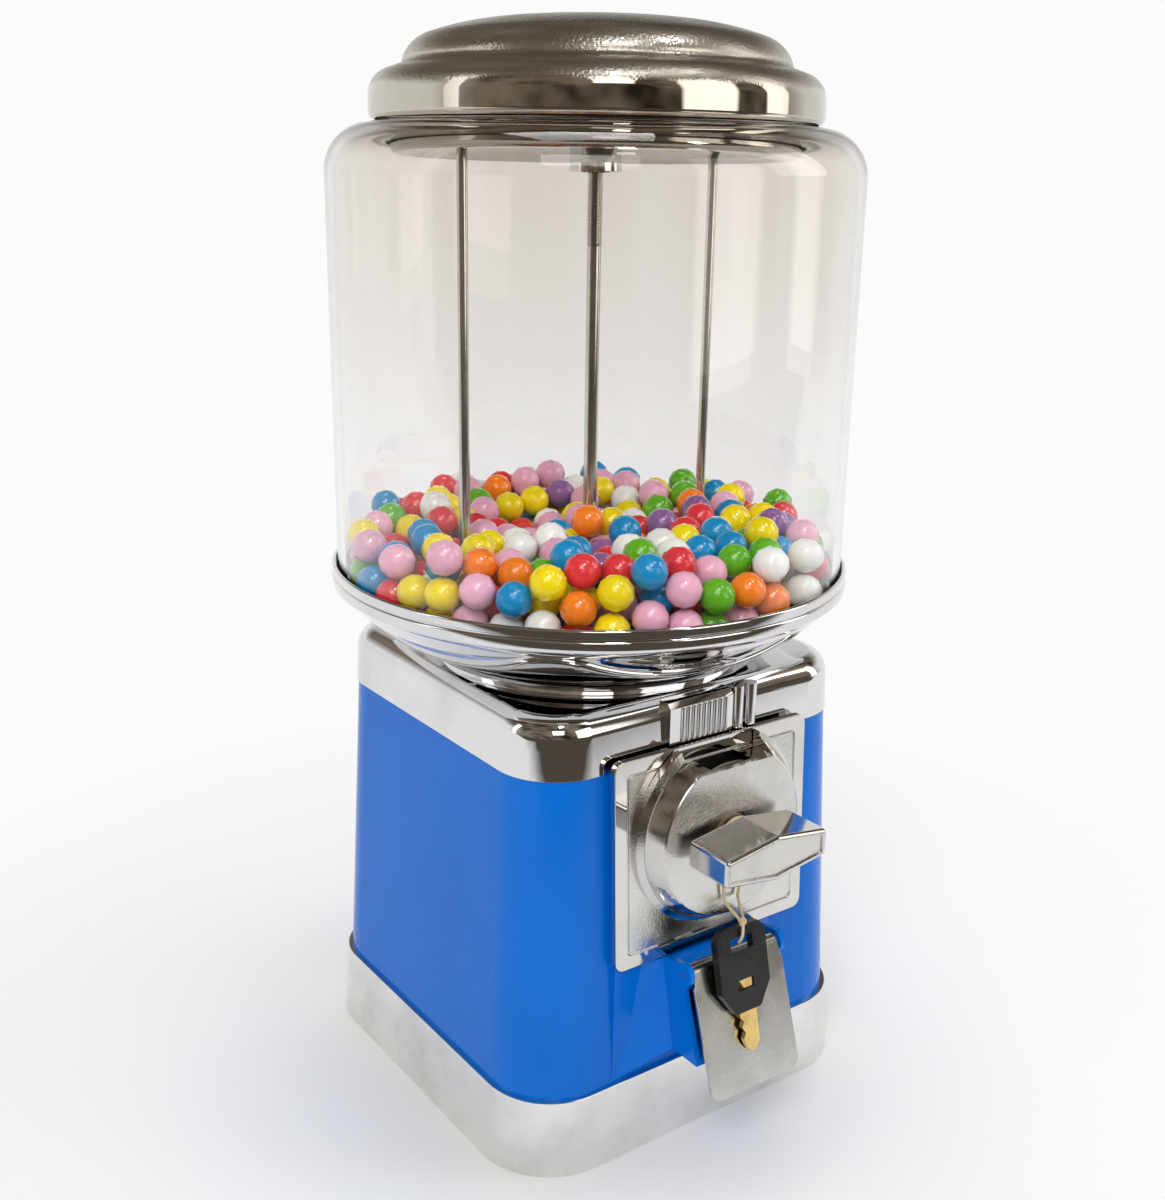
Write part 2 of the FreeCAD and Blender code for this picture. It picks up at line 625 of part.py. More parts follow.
def make_body():
    levels = [(S.body_base_half, S.body_base_corner, S.foot_height),
              (S.body_top_half, S.body_top_corner, BODY_TOP)]
    outer = square_loft("body_outer", levels)
    inner = square_loft("body_inner", [(half - S.body_wall, corner - S.body_wall, height)
                                       for half, corner, height in levels])
    plate_foot = BODY_TOP + S.coin_plate_over - S.coin_plate_height
    pad = padded("body_pad", "yz", [
        (-face_y(S.foot_height) + S.body_wall / 2.0, S.foot_height), (-face_y(S.foot_height),
                                                                      S.foot_height),
        (-face_y(plate_foot) - S.pad_rise, plate_foot), (-face_y(BODY_TOP) - S.pad_rise, BODY_TOP),
        (-face_y(BODY_TOP) + S.body_wall / 2.0, BODY_TOP)], S.pad_half * 2.0, middle=True)
    spout_top = S.door_pin_height - S.door_knuckle_radius - 1.0
    ledge = S.door_pin_y - S.door_knuckle_radius - S.knuckle_room
    side = [(-face_y(S.spout_floor_height) + S.body_wall / 2.0, S.spout_floor_height),
            (-spout_front(S.spout_floor_height), S.spout_floor_height),
            (-spout_front(spout_top), spout_top), (-ledge, spout_top),
            (-face_y(plate_foot) - S.pad_rise, plate_foot - 1.0),
            (-face_y(plate_foot) + S.body_wall / 2.0, plate_foot - 1.0)]
    spout = padded("spout_block", "yz", side, S.spout_half * 2.0, middle=True)
    ears = []
    for i, sign in enumerate((-1.0, 1.0)):
        low = S.spout_half * sign - (S.spout_wall if sign > 0 else 0.0)
        ears.append(cylinder("spout_ear_%d" % i, (low, -S.door_pin_y, S.door_pin_height), "x", S.ear_radius,
                             S.spout_wall))
        ears.append(padded("spout_ear_web_%d" % i, "yz", [
            (-S.door_pin_y, S.door_pin_height + S.ear_radius),
            (-S.door_pin_y - S.ear_radius * 0.6, S.door_pin_height - S.ear_radius * 0.8),
            (-spout_front(spout_top) + 1.0, spout_top - 6.0),
            (-face_y(plate_foot) - S.pad_rise, spout_top - 6.0),
            (-face_y(plate_foot) - S.pad_rise, plate_foot - 1.0)], S.spout_wall, base=(low, 0.0, 0.0)))
    flares = make_flares(plate_foot - 1.0)
    walls = cut("body_shell_raw", fuse("body_solid", [outer, pad]), [inner])
    shell = fuse("body_joined", [walls, spout] + ears + flares)
    roof = plate_foot - 1.0 - S.spout_wall
    floor = S.spout_floor_height + S.spout_wall
    hollow = padded("spout_hollow", "yz", [
        (-S.housing_radius, floor), (-S.handle_front_y, floor), (-S.handle_front_y,
                                                                 spout_top - S.spout_wall - 6.0),
        (-spout_front(spout_top), spout_top - S.spout_wall), (-ledge, spout_top - S.spout_wall),
        (-face_y(plate_foot) - S.pad_rise, roof),
        (-S.housing_radius, roof)], (S.spout_half - S.spout_wall) * 2.0, middle=True)
    window = box("body_window", (-S.window_half, -S.drum_face_y, S.shaft_height - S.window_height / 2.0),
                 (S.window_half * 2.0, S.drum_face_y - S.housing_radius, S.window_height))
    drop_top = S.shaft_height - S.window_height / 2.0 - 3.0
    drop = box("body_coin_drop", (-S.coin_drop_half, -S.drum_face_y, drop_top - S.coin_drop_height),
               (S.coin_drop_half * 2.0, S.drum_face_y - S.housing_radius, S.coin_drop_height))
    pin = cylinder("ear_bore", (-S.spout_half - 1.0, -S.door_pin_y, S.door_pin_height), "x",
                   S.door_pin_radius + S.running_fit, S.spout_half * 2.0 + 2.0)
    node("body_shell", cut("body_cut", shell, [hollow, window, drop, pin]))


# Collar with its ribbed block

def make_collar():
    half = S.body_top_half + S.collar_lip
    corner = S.body_top_corner + S.collar_lip
    top_half = half - S.collar_draft
    top_corner = corner - S.collar_draft
    turn = RIM_TOP - S.collar_round
    steps = [(half, corner, BODY_TOP), (top_half, top_corner, turn)]
    count = 6
    for i in range(1, count + 1):
        angle = math.pi / 2 * i / count
        inset = S.collar_round * (1 - math.cos(angle))
        steps.append((top_half - inset, top_corner - inset, turn + S.collar_round * math.sin(angle)))
    outer = square_loft("collar_outer", steps)
    wall = S.collar_wall
    inner_turn = COLLAR_TOP - S.collar_round
    inner = square_loft("collar_inner", [
        (half - wall, corner - wall, BODY_TOP), (top_half - wall, top_corner - wall, inner_turn),
        (top_half - S.collar_round, top_corner - S.collar_round, COLLAR_TOP - wall)])
    front = half + S.block_proud
    low = BODY_TOP + S.coin_plate_over + S.block_gap
    high = RIM_TOP - S.block_drop
    block = padded("collar_block", "yz", [
        (-(half - S.collar_round), low), (-front, low), (-front, high - 2.0), (-(front - 2.0), high),
        (-(half - S.collar_round), high)], S.block_left + S.block_right, base=(-S.block_left, 0.0, 0.0))
    bars = []
    ribs = 9
    first = -S.block_left + 6.0
    for i in range(ribs):
        bars.append(cylinder("collar_rib_%d" % i, (first + S.rib_pitch * i, -front, low + 0.6), "z",
                             S.rib_radius, high - low - 3.2))
    for i in range(2):
        x = S.block_right + S.bead_radius * 1.3 + S.bead_pitch * i
        bars.append(cylinder("collar_bead_%d" % i, (x, -(half + 0.6), low), "z", S.bead_radius,
                             RIM_TOP - S.block_drop / 2.0 - low))
    opening = cylinder("collar_opening", (0.0, 0.0, BODY_TOP), "z", S.flange_radius + S.collar_bore_gap,
                       S.collar_rise + 1.0)
    seat = S.dish_foot_radius + S.recess_gap
    recess = cone("collar_recess", (0.0, 0.0, COLLAR_TOP), "z", seat, seat + S.recess_flare,
                  S.rim_rise + 0.5)
    clear = square_loft("collar_clear", [(half - wall, corner - wall, BODY_TOP),
                                         (top_half - wall, top_corner - wall, inner_turn)])
    shell = cut("collar_shell", outer, [inner])
    node("collar",
         cut("collar_cut", fuse("collar_joined", [shell, block] + bars), [opening, recess, clear]))


# Dish, wheel housing, globe and gaskets

def make_dish():
    foot = COLLAR_TOP
    bowl = foot + S.dish_bowl_rise
    top = bowl + S.ring_height
    ledge = GASKET_FOOT
    inner_top = S.globe_radius - S.gasket_seat
    inner_low = HOUSING_INNER
    wall = S.dish_wall
    points = [
        (inner_low, foot), (S.dish_foot_radius, foot), (S.dish_neck_radius, foot + S.dish_neck_rise),
        (S.dish_neck_radius + 1.0, foot + S.dish_neck_rise * 2.0, S.bowl_bulge, True),
        (BOWL_RADIUS, bowl), (RING_RADIUS - S.ring_round, bowl, S.ring_round, True),
        (RING_RADIUS, bowl + S.ring_round), (RING_RADIUS, top - 1.0, 1.0, True),
        (RING_RADIUS - 1.0, top), (RING_RADIUS - S.ring_lip, top), (RING_RADIUS - S.ring_lip, ledge),
        (inner_top, ledge), (inner_top - 2.0, ledge - 3.0, S.bowl_bulge - wall, False),
        (S.dish_neck_radius + wall, foot + S.dish_neck_rise * 2.0 + wall), (inner_low, foot + wall)]
    dish = turned("dish_turned", points)
    holes = [cylinder("dish_rod_hole_%d" % i, (S.side_rod_place * sign, 0.0, foot - 1.0), "z",
                      S.side_rod_radius + S.screw_clearance, 16.0) for i, sign in enumerate((-1.0, 1.0))]
    holes += [cylinder("dish_screw_hole_%d" % i, (0.0, S.side_rod_place * sign, foot - 1.0), "z",
                       S.side_rod_radius + S.screw_clearance, 3.4) for i, sign in enumerate((-1.0, 1.0))]
    node("dish", cut("dish_drilled", dish, holes))


def make_housing():
    top = COLLAR_TOP
    points = [
        (S.rod_radius + 0.4, HOUSING_FOOT), (S.housing_radius, HOUSING_FOOT),
        (S.housing_radius, top - S.flange_thickness), (S.flange_radius, top - S.flange_thickness),
        (S.flange_radius, top), (HOUSING_INNER, top), (HOUSING_INNER, CHANNEL), (LAND_RADIUS, CHANNEL),
        (LAND_RADIUS, LAND_TOP), (S.rod_radius + 0.4, LAND_TOP)]
    blank = turned("housing_turned", points)
    slot_half = PINION_PITCH + S.gear_addendum + 0.8
    slot_reach = S.pinion_face / 2.0 + 1.2
    holes = [cylinder("housing_drop", (DROP[0], DROP[1], HOUSING_FOOT - 1.0), "z", S.drop_radius, 14.0),
             box("housing_slot", (-slot_half, -(CROWN_PITCH + slot_reach), HOUSING_FOOT - 1.0),
                 (slot_half * 2.0, slot_reach * 2.0, S.housing_floor + 1.5))]
    for i, sign in enumerate((-1.0, 1.0)):
        for tag, x, y in (("rod", S.side_rod_place * sign, 0.0), ("screw", 0.0, S.side_rod_place * sign)):
            holes.append(cylinder("housing_%s_hole_%d" % (tag, i),
                                  (x, y, top - S.flange_thickness - 1.0), "z",
                                  S.side_rod_radius + S.screw_clearance, S.flange_thickness + 2.0))
    node("wheel_housing", cut("housing_drilled", blank, holes))
    screws = []
    for i, sign in enumerate((-1.0, 1.0)):
        y = S.side_rod_place * sign
        head = top - S.flange_thickness
        screws.append(fuse("housing_screw_%d" % i, [
            cylinder("housing_shank_%d" % i, (0.0, y, head), "z", S.side_rod_radius,
                     S.flange_thickness + 2.0),
            cylinder("housing_head_%d" % i, (0.0, y, head - 2.2), "z", S.side_rod_radius * 1.6, 2.2)]))
    node("housing_screws", group("housing_screw_group", screws))


def make_globe():
    outer, wall = S.globe_radius, S.globe_wall
    turn = S.globe_shoulder
    level = GLOBE_TOP - S.globe_neck_height
    flat = level + turn
    inner = outer - wall
    neck = NECK_RADIUS
    points = [
        (inner, GLOBE_FOOT), (outer, GLOBE_FOOT), (outer, level, turn - 2.0, True), (neck + 2.0,
                                                                                     flat - 2.0),
        (neck, flat - 1.0), (neck, GLOBE_TOP), (neck - wall, GLOBE_TOP), (neck - wall, flat - wall - 1.5),
        (neck + 1.0, flat - wall - 2.2, turn - 3.6, False), (inner, level)]
    node("globe", turned("globe_turned", points))
    gasket = [(outer - S.gasket_seat, GASKET_FOOT), (outer + 0.6, GASKET_FOOT), (outer + 0.6, GLOBE_FOOT),
              (outer - S.gasket_seat, GLOBE_FOOT)]
    node("globe_gasket", turned("globe_gasket_turned", gasket))


# Rods and nuts

def make_rods():
    foot = S.bottom_plate_thickness
    shank = turned("rod_shank",
                   [(0.0, foot), (S.rod_radius, foot), (S.rod_radius, THREAD_FOOT), (0.0, THREAD_FOOT)])
    turns = int(float(ROD_TOP - THREAD_FOOT) / float(S.thread_pitch))
    points = [(0.0, THREAD_FOOT)]
    root = S.thread_radius - S.thread_depth
    for i in range(turns):
        low = THREAD_FOOT + S.thread_pitch * i
        points += [(root, low), (S.thread_radius, low + S.thread_pitch / 2.0)]
    end = THREAD_FOOT + S.thread_pitch * turns
    points += [(root, end), (0.0, end)]
    node("centre_rod", fuse("rod_joined", [shank, turned("rod_thread", points)]))
    foot_nut = nut("rod_nut_hex", (0.0, 0.0, foot), "z", S.base_nut_radius, S.base_nut_height)
    bore = cylinder("rod_nut_bore", (0.0, 0.0, foot), "z", S.rod_radius + S.running_fit, S.base_nut_height)
    node("rod_nut", cut("rod_nut_bored", foot_nut, [bore]))
    rods, nuts = [], []
    flange_foot = COLLAR_TOP - S.flange_thickness
    low = flange_foot - S.nut_height - 2.0
    for i, sign in enumerate((-1.0, 1.0)):
        x = S.side_rod_place * sign
        rods.append(cylinder("side_rod_%d" % i, (x, 0.0, low), "z", S.side_rod_radius,
                             TRAY_FLOOR + S.tray_sheet + S.side_rod_over - low))
        blank = nut("side_nut_%d" % i, (x, 0.0, flange_foot - S.nut_height), "z", S.nut_radius,
                    S.nut_height)
        hole = cylinder("side_nut_bore_%d" % i, (x, 0.0, low), "z", S.side_rod_radius + S.running_fit, 10.0)
        nuts.append(cut("side_nut_bored_%d" % i, blank, [hole]))
    node("side_rods", group("side_rod_group", rods))
    node("side_rod_nuts", group("side_nut_group", nuts))


# Lid, its tray, gasket, threaded sleeve and lock

LID_FOOT = LID_SEAT - S.lid_skirt
LID_DOME = LID_FOOT + S.lid_step_rise
LID_TOP = LID_DOME + S.lid_dome_rise


def make_lid():
    wall = S.lid_wall
    rim = LID_RIM
    rim_top = LID_FOOT + S.lid_rim_height
    inner_rim = NECK_RADIUS + 0.7
    step = LID_STEP
    bore = S.lock_radius + S.running_fit
    crown = S.lid_crown_radius
    shoulder = (rim - S.lid_shoulder_in, rim_top + S.lid_shoulder_rise)
    turn = (step - S.lid_turn_in, LID_DOME + S.lid_turn_rise)
    points = [
        (inner_rim, LID_FOOT), (rim - 1.3, LID_FOOT, 4.0, True), (rim, LID_FOOT + 3.0),
        (rim, rim_top, S.lid_shoulder_radius, True), shoulder, (step + 1.0, LID_DOME - 1.0, 3.0, False),
        (step, LID_DOME + 1.0, S.lid_turn_radius, True), turn + (S.lid_dome_bulge, True), (crown, LID_TOP),
        (bore, LID_TOP), (bore, LID_TOP - wall), (crown, LID_TOP - wall, S.lid_dome_bulge - wall, False),
        (turn[0] - wall * 0.5, turn[1] - wall * 0.85, S.lid_turn_radius - wall, False),
        (step - wall, LID_DOME + 0.6), (step - wall, LID_DOME - 1.0 - wall),
        (shoulder[0] - wall * 0.6, shoulder[1] - wall * 0.9), (inner_rim, LID_SEAT + 2.0),
        (TRAY_RADIUS - 4.0, LID_SEAT + 2.0), (TRAY_RADIUS - 4.0, LID_SEAT), (inner_rim, LID_SEAT)]
    node("lid", turned("lid_turned", points))
    gasket = [(NECK_RADIUS - S.globe_wall, LID_SEAT - S.lid_gasket_thickness),
              (NECK_RADIUS, LID_SEAT - S.lid_gasket_thickness), (NECK_RADIUS, LID_SEAT),
              (NECK_RADIUS - S.globe_wall, LID_SEAT)]
    node("lid_gasket", turned("lid_gasket_turned", gasket))
    sheet = S.tray_sheet
    inner = S.sleeve_radius - 2.0
    hollow = TRAY_FLOOR + S.tray_dome
    edge = TRAY_RADIUS - S.tray_lip
    boss = S.sleeve_radius + 2.0
    tray = turned("lid_tray_turned", [
        (inner, hollow), (boss, hollow, S.tray_bulge, False), (edge, TRAY_FLOOR),
        (TRAY_RADIUS - 3.0, TRAY_FLOOR, 3.0, True), (TRAY_RADIUS, TRAY_FLOOR + 3.0),
        (TRAY_RADIUS, LID_SEAT), (TRAY_RADIUS - sheet, LID_SEAT),
        (TRAY_RADIUS - sheet, TRAY_FLOOR + 3.0, 3.0 - sheet, False),
        (TRAY_RADIUS - 3.0, TRAY_FLOOR + sheet), (edge, TRAY_FLOOR + sheet, S.tray_bulge + sheet, True),
        (boss, hollow + sheet), (inner, hollow + sheet)])
    holes = [cylinder("tray_hole_%d" % i, (S.side_rod_place * sign, 0.0, TRAY_FLOOR - 1.0), "z",
                      S.side_rod_radius + S.side_rod_clearance, S.tray_dome + S.tray_sheet + 2.0)
             for i, sign in enumerate((-1.0, 1.0))]
    node("lid_tray", cut("lid_tray_drilled", tray, holes))
    lock_foot = LID_TOP + S.lock_proud - S.lock_depth
    bore = S.thread_radius + S.thread_clearance
    bore_top = ROD_TOP + 3.0
    node("lid_sleeve", turned("lid_sleeve_turned", [
        (bore, SLEEVE_FOOT), (S.sleeve_radius - 0.8, SLEEVE_FOOT), (S.sleeve_radius, SLEEVE_FOOT + 0.8),
        (S.sleeve_radius, hollow), (inner, hollow), (inner, lock_foot), (0.0, lock_foot),
        (0.0, bore_top), (bore, bore_top)]))
    plug_bore = S.lock_plug_radius + S.running_fit
    lock_top = LID_TOP + S.lock_proud
    node("lock_body", turned("lock_body_turned", [
        (plug_bore, lock_foot + 2.0), (plug_bore, lock_top), (S.lock_radius + 1.6, lock_top),
        (S.lock_radius + 1.6, LID_TOP), (S.lock_radius, LID_TOP), (S.lock_radius, lock_foot),
        (0.0, lock_foot), (0.0, lock_foot + 2.0)]))
    plug = cylinder("lock_plug_round", (0.0, 0.0, lock_foot + 2.2), "z", S.lock_plug_radius,
                    S.lock_depth - 2.4)
    keyway = box("lock_keyway", (-0.9, -4.0, lock_top - 9.0), (1.8, 8.0, 10.0))
    node("lock_plug", cut("lock_plug_cut", plug, [keyway]))


# Dispensing wheel with its crown of teeth, and the pinion that turns it

def tooth_width(module, share):
    return module * math.pi * share


def make_wheel():
    outer = HOUSING_INNER - S.wheel_gap
    blank = turned("wheel_turned", [
        (S.rod_radius + S.running_fit, WHEEL_FOOT), (outer, WHEEL_FOOT), (outer, WHEEL_TOP - 2.0),
        (outer - 2.0, WHEEL_TOP), (S.rod_radius + S.running_fit, WHEEL_TOP)])
    pockets = []
    for i in range(int(S.pocket_count)):
        angle = math.radians(float(S.drop_angle)) + 2 * math.pi * i / int(S.pocket_count)
        x, y = S.pocket_circle * math.cos(angle), S.pocket_circle * math.sin(angle)
        pockets.append(cylinder("wheel_pocket_%d" % i, (x, y, WHEEL_FOOT - 1.0), "z", S.pocket_radius,
                                S.wheel_thickness + 2.0))
    base = float(WHEEL_FOOT) + 0.5
    tip = float(TOOTH_TIP)
    inner = float(CROWN_PITCH - S.crown_face / 2.0)
    module = float(S.gear_module)
    root_half, tip_half = tooth_width(module, 0.29), tooth_width(module, 0.075)
    teeth = []
    count = int(S.crown_teeth)
    for i in range(count):
        section = [Vector(inner, -root_half, base), Vector(inner, root_half, base),
                   Vector(inner, tip_half, tip), Vector(inner, -tip_half, tip)]
        tooth = Part.Face(Part.makePolygon(section + section[:1])).extrude(Vector(float(S.crown_face),
                                                                                  0, 0))
        tooth.rotate(Vector(), Vector(0, 0, 1), -90 + 360.0 * (i + 0.5) / count)
        teeth.append(tooth)
    crown = feature("wheel_crown", Part.makeCompound(teeth))
    node("dispensing_wheel", fuse("wheel_joined", [cut("wheel_drilled", blank, pockets), crown]))


def gear_outline(count, root, tip, root_share, tip_share):
    """Points of a wheel of straight-sided teeth, the first one pointing up."""
    points = []
    step = 2 * math.pi / count
    for i in range(count):
        middle = step * i
        for radius, share in ((root, -root_share), (tip, -tip_share), (tip, tip_share), (root, root_share)):
            angle = middle + share * step
            points.append(Vector(radius * math.sin(angle), 0, radius * math.cos(angle)))
    return points


def make_pinion():
    root = float(PINION_PITCH - S.gear_dedendum)
    tip = float(PINION_PITCH + S.gear_addendum)
    points = gear_outline(int(S.pinion_teeth), root, tip, 0.25, 0.085)
    blank = Part.Face(Part.makePolygon(points + points[:1])).extrude(Vector(0, float(S.pinion_face), 0))
    y = -(float(CROWN_PITCH) + float(S.pinion_face) / 2)
    gear = feature("pinion_blank", blank, (0.0, y, S.shaft_height))
    hole = cylinder("pinion_bore", (0.0, -(CROWN_PITCH + S.pinion_face), S.shaft_height), "y",
                    S.shaft_radius + S.running_fit, S.pinion_face * 2.0)
    node("pinion", cut("pinion_bored", gear, [hole]))


# Coin mechanism

PLATE_FOOT = BODY_TOP + S.coin_plate_over - S.coin_plate_height
PLATE_BACK = face_y(PLATE_FOOT) + S.pad_rise


def leaning(name, points, depth, out):
    """A slab parallel to the body's front, whose outline is drawn from the plate's foot. Its back stands
    out from the pad by the given distance."""
    slab = padded(name, "xz", points, depth)
    return put(slab, (0.0, -(PLATE_BACK + out), PLATE_FOOT), (1, 0, 0), -LEAN_ANGLE)


def rounded_frame(half, low, high, corner):
    return [(half, low + corner), (half, high - corner, corner, True), (half - corner, high),
            (-(half - corner), high, corner, True), (-half, high - corner), (-half, low + corner,
                                                                             corner, True),
            (-(half - corner), low), (half - corner, low, corner, True)]


def make_coin_plate():
    half, height, corner = S.coin_plate_half, S.coin_plate_height, S.coin_plate_corner
    slab = leaning("coin_plate_slab", rounded_frame(half, 0.0 * height, height, corner),
                   S.coin_plate_thickness, 0.0)
    inset = S.groove_inset
    inner = inset + S.groove_width
    out = S.coin_plate_thickness - S.groove_depth
    groove = cut("coin_plate_groove", leaning(
        "groove_outer", rounded_frame(half - inset, inset, height - inset,
                                      corner / 2.0), S.groove_depth * 2.0, out),
        [leaning("groove_inner", rounded_frame(half - inner, inner, height - inner, corner / 2.0),
                 S.groove_depth * 4.0, out - 1.0)])
    bore = cylinder("coin_plate_bore", (0.0, -S.drum_face_y, S.shaft_height), "y", S.bush_radius,
                    S.housing_radius)
    drop_top = S.shaft_height - S.window_height / 2.0 - 3.0
    drop = box("plate_coin_drop", (-S.coin_drop_half, -S.drum_face_y, drop_top - S.coin_drop_height),
               (S.coin_drop_half * 2.0, S.drum_face_y - S.housing_radius, S.coin_drop_height))
    node("coin_plate", cut("coin_plate_cut", slab, [groove, bore, drop]))


def make_drum():
    face = S.drum_face_y
    back = PLATE_BACK
    length = face - back
    points = [
        (0.0, 0.0), (S.drum_radius, 0.0), (S.drum_radius, length - 9.2), (S.drum_step_radius, length - 7.6),
        (S.drum_step_radius, length - 6.8), (S.drum_face_radius + 0.8, length - 0.6),
        (S.drum_face_radius, length), (0.0, length)]
    blank = turned("drum_turned", points, (0.0, -back, S.shaft_height), (1, 0, 0), 90.0)
    half, height = S.drum_radius * 1.5, S.coin_plate_height * 1.5
    behind = leaning("drum_behind", [(half, -height), (half, height), (-half, height), (-half, -height)],
                     S.coin_plate_thickness + 20.0, -20.0)
    shelf = S.shaft_height + S.shelf_height
    tools = [
        behind,
        cylinder("drum_space", (0.0, -(face - S.drum_front), S.shaft_height), "y", S.drum_cavity,
                 S.drum_face_y),
        cylinder("drum_shaft_hole", (0.0, -face - 1.0, S.shaft_height), "y", S.shaft_radius + 1.0, 10.0),
        box("drum_shelf", (-S.shelf_half, -face - 1.0, shelf), (S.shelf_half * 2.0, S.drum_face_y, 20.0))]
    slot_y = face - S.drum_front - S.carrier_thickness
    tools.append(box("drum_coin_slot", (-S.coin_slot_half, -slot_y, shelf - 12.0),
                     (S.coin_slot_half * 2.0, S.coin_slot_width, 14.0)))
    node("coin_drum", cut("coin_drum_cut", blank, tools))


def make_carrier():
    y = S.drum_face_y - S.drum_front - 0.5
    disc = cylinder("carrier_disc", (0.0, -y, S.shaft_height), "y", S.carrier_radius, S.carrier_thickness)
    centre = S.shaft_height + S.carrier_radius - S.coin_radius + 4.0
    coin = cylinder("carrier_coin", (0.0, -y + S.carrier_thickness - S.coin_slot_width, centre), "y",
                    S.coin_radius,
                    S.coin_slot_width + 1.0)
    bore = cylinder("carrier_bore", (0.0, -y - 1.0, S.shaft_height), "y", S.shaft_radius + S.running_fit,
                    S.carrier_thickness + 2.0)
    node("coin_carrier", cut("coin_carrier_cut", disc, [coin, bore]))


def make_handle():
    front = S.handle_front_y
    back = front - S.handle_depth
    long, mid, end = S.handle_half, S.handle_mid_half, S.handle_end_half
    bar = padded("handle_bar", "xz", [(long, -end), (long, end), (0.0, mid), (-long, end), (-long, -end),
                                      (0.0, -mid)], S.handle_depth, base=(0.0, -back, S.shaft_height))
    DOC.recompute()
    bar_round = DOC.addObject("Part::Fillet", "handle_rounded")
    bar_round.Base = bar
    edges = range(1, len(bar.Shape.Edges) + 1)
    bar_round.Edges = [(i, float(S.handle_round), float(S.handle_round)) for i in edges]
    inset = S.panel_inset
    panel = padded("handle_panel", "xz", [
        (long - inset, -(end - inset * 0.8)), (long - inset, end - inset * 0.8), (0.0, mid - inset),
        (-(long - inset), end - inset * 0.8), (-(long - inset), -(end - inset * 0.8)), (0.0,
                                                                                        -(mid - inset))],
        S.panel_depth * 2.0, base=(0.0, -(front - S.panel_depth), S.shaft_height))
    stem = cylinder("handle_stem", (0.0, -(back + 1.0), S.shaft_height), "y", S.hub_radius,
                    back + 1.0 - S.drum_face_y - S.hub_gap)
    bore = cylinder("handle_bore", (0.0, -(back + 12.0), S.shaft_height), "y",
                    S.shaft_radius + S.running_fit, 20.0)
    node("handle", cut("handle_cut", fuse("handle_joined", [bar_round, stem]), [panel, bore]))


def make_shaft():
    start = S.handle_front_y - S.handle_depth + 12.0
    nut_y = CROWN_PITCH - S.pinion_face / 2.0
    end = nut_y - S.shaft_nut_height - 1.0
    node("shaft", cylinder("shaft_round", (0.0, -start, S.shaft_height), "y", S.shaft_radius, start - end))
    blank = nut("shaft_nut_hex", (0.0, -nut_y, S.shaft_height), "y", S.shaft_nut_radius, S.shaft_nut_height)
    bore = cylinder("shaft_nut_bore", (0.0, -nut_y - 1.0, S.shaft_height), "y",
                    S.shaft_radius + S.running_fit, 8.0)
    node("shaft_nut", cut("shaft_nut_bored", blank, [bore]))
    bush_y = face_y(S.shaft_height) + S.pad_rise + S.coin_plate_thickness
    bush = cylinder("bush_round", (0.0, -bush_y, S.shaft_height), "y", S.bush_radius,
                    S.coin_plate_thickness)
    hole = cylinder("bush_bore", (0.0, -bush_y - 1.0, S.shaft_height), "y", S.shaft_radius + S.running_fit,
                    S.coin_plate_thickness + 2.0)
    node("shaft_bush", cut("bush_bored", bush, [hole]))


def make_mech_frame():
    low = S.shaft_height - S.frame_height / 2.0
    sheet = box("frame_sheet_box", (-S.frame_half, -S.frame_y, low),
                (S.frame_half * 2.0, S.frame_sheet, S.frame_height))
    holes = [cylinder("frame_bore", (0.0, -S.frame_y - 1.0, S.shaft_height), "y",
                      S.shaft_radius + S.running_fit, 6.0)]
    node("mech_frame", cut("frame_cut", sheet, holes))
    spacers = []
    half, height = S.coin_plate_half, S.coin_plate_height
    slab_back = leaning("standoff_stop",
                        [(half, -height / 4.0), (half, height), (-half, height), (-half, -height / 4.0)],
                        S.drum_face_y / 2.0, 0.0)
    for i, (dx, dz) in enumerate(corners(S.standoff_place)):
        bar = cylinder("standoff_%d" % i, (dx, -S.drum_face_y, S.shaft_height + dz * 0.85), "y",
                       S.standoff_radius,
                       S.drum_face_y - S.frame_y)
        spacers.append(cut("standoff_cut_%d" % i, bar, [slab_back]))
    node("mech_standoffs", group("standoff_group", spacers))


def make_ratchet():
    tip, root = float(S.ratchet_radius), float(S.ratchet_radius - S.ratchet_depth)
    count = int(S.ratchet_teeth)
    points = []
    for i in range(count):
        angle = 2 * math.pi * i / count
        for radius, turn in ((tip, angle), (root, angle + 0.03)):
            points.append(Vector(radius * math.sin(turn), 0, radius * math.cos(turn)))
    blank = Part.Face(Part.makePolygon(points + points[:1])).extrude(Vector(0,
                                                                            float(S.ratchet_thickness), 0))
    front = S.frame_y + S.ratchet_thickness + 2.0
    wheel = feature("ratchet_blank", blank, (0.0, -front, S.shaft_height))
    bore = cylinder("ratchet_bore", (0.0, -front - 1.0, S.shaft_height), "y",
                    S.shaft_radius + S.running_fit, 8.0)
    node("ratchet", cut("ratchet_bored", wheel, [bore]))
    x, z = S.pawl_pin_x, S.shaft_height + S.pawl_pin_rise
    node("pawl_pin", cylinder("pawl_pin_round", (x, -front - 1.0, z), "y", S.pawl_pin_radius,
                              front + 1.0 - S.frame_y))
    toe = S.shaft_height + S.ratchet_radius + S.pawl_gap
    arm = padded("pawl_arm", "xz", [
        (x, z - S.pawl_hub_radius * 0.2), (x, z + S.pawl_hub_radius), (x - 12.0, toe + 4.6), (-2.0,
                                                                                              toe + 3.4),
        (-2.0, toe), (3.0, toe)], S.ratchet_thickness, base=(0.0, -(front - S.ratchet_thickness), 0.0))
    hub = cylinder("pawl_hub", (x, -front, z), "y", S.pawl_hub_radius, S.ratchet_thickness)
    hole = cylinder("pawl_bore", (x, -front - 1.0, z), "y", S.pawl_pin_radius + S.running_fit,
                    S.ratchet_thickness + 2.0)
    node("pawl", cut("pawl_cut", fuse("pawl_joined", [arm, hub]), [hole]))


# Door with its pin

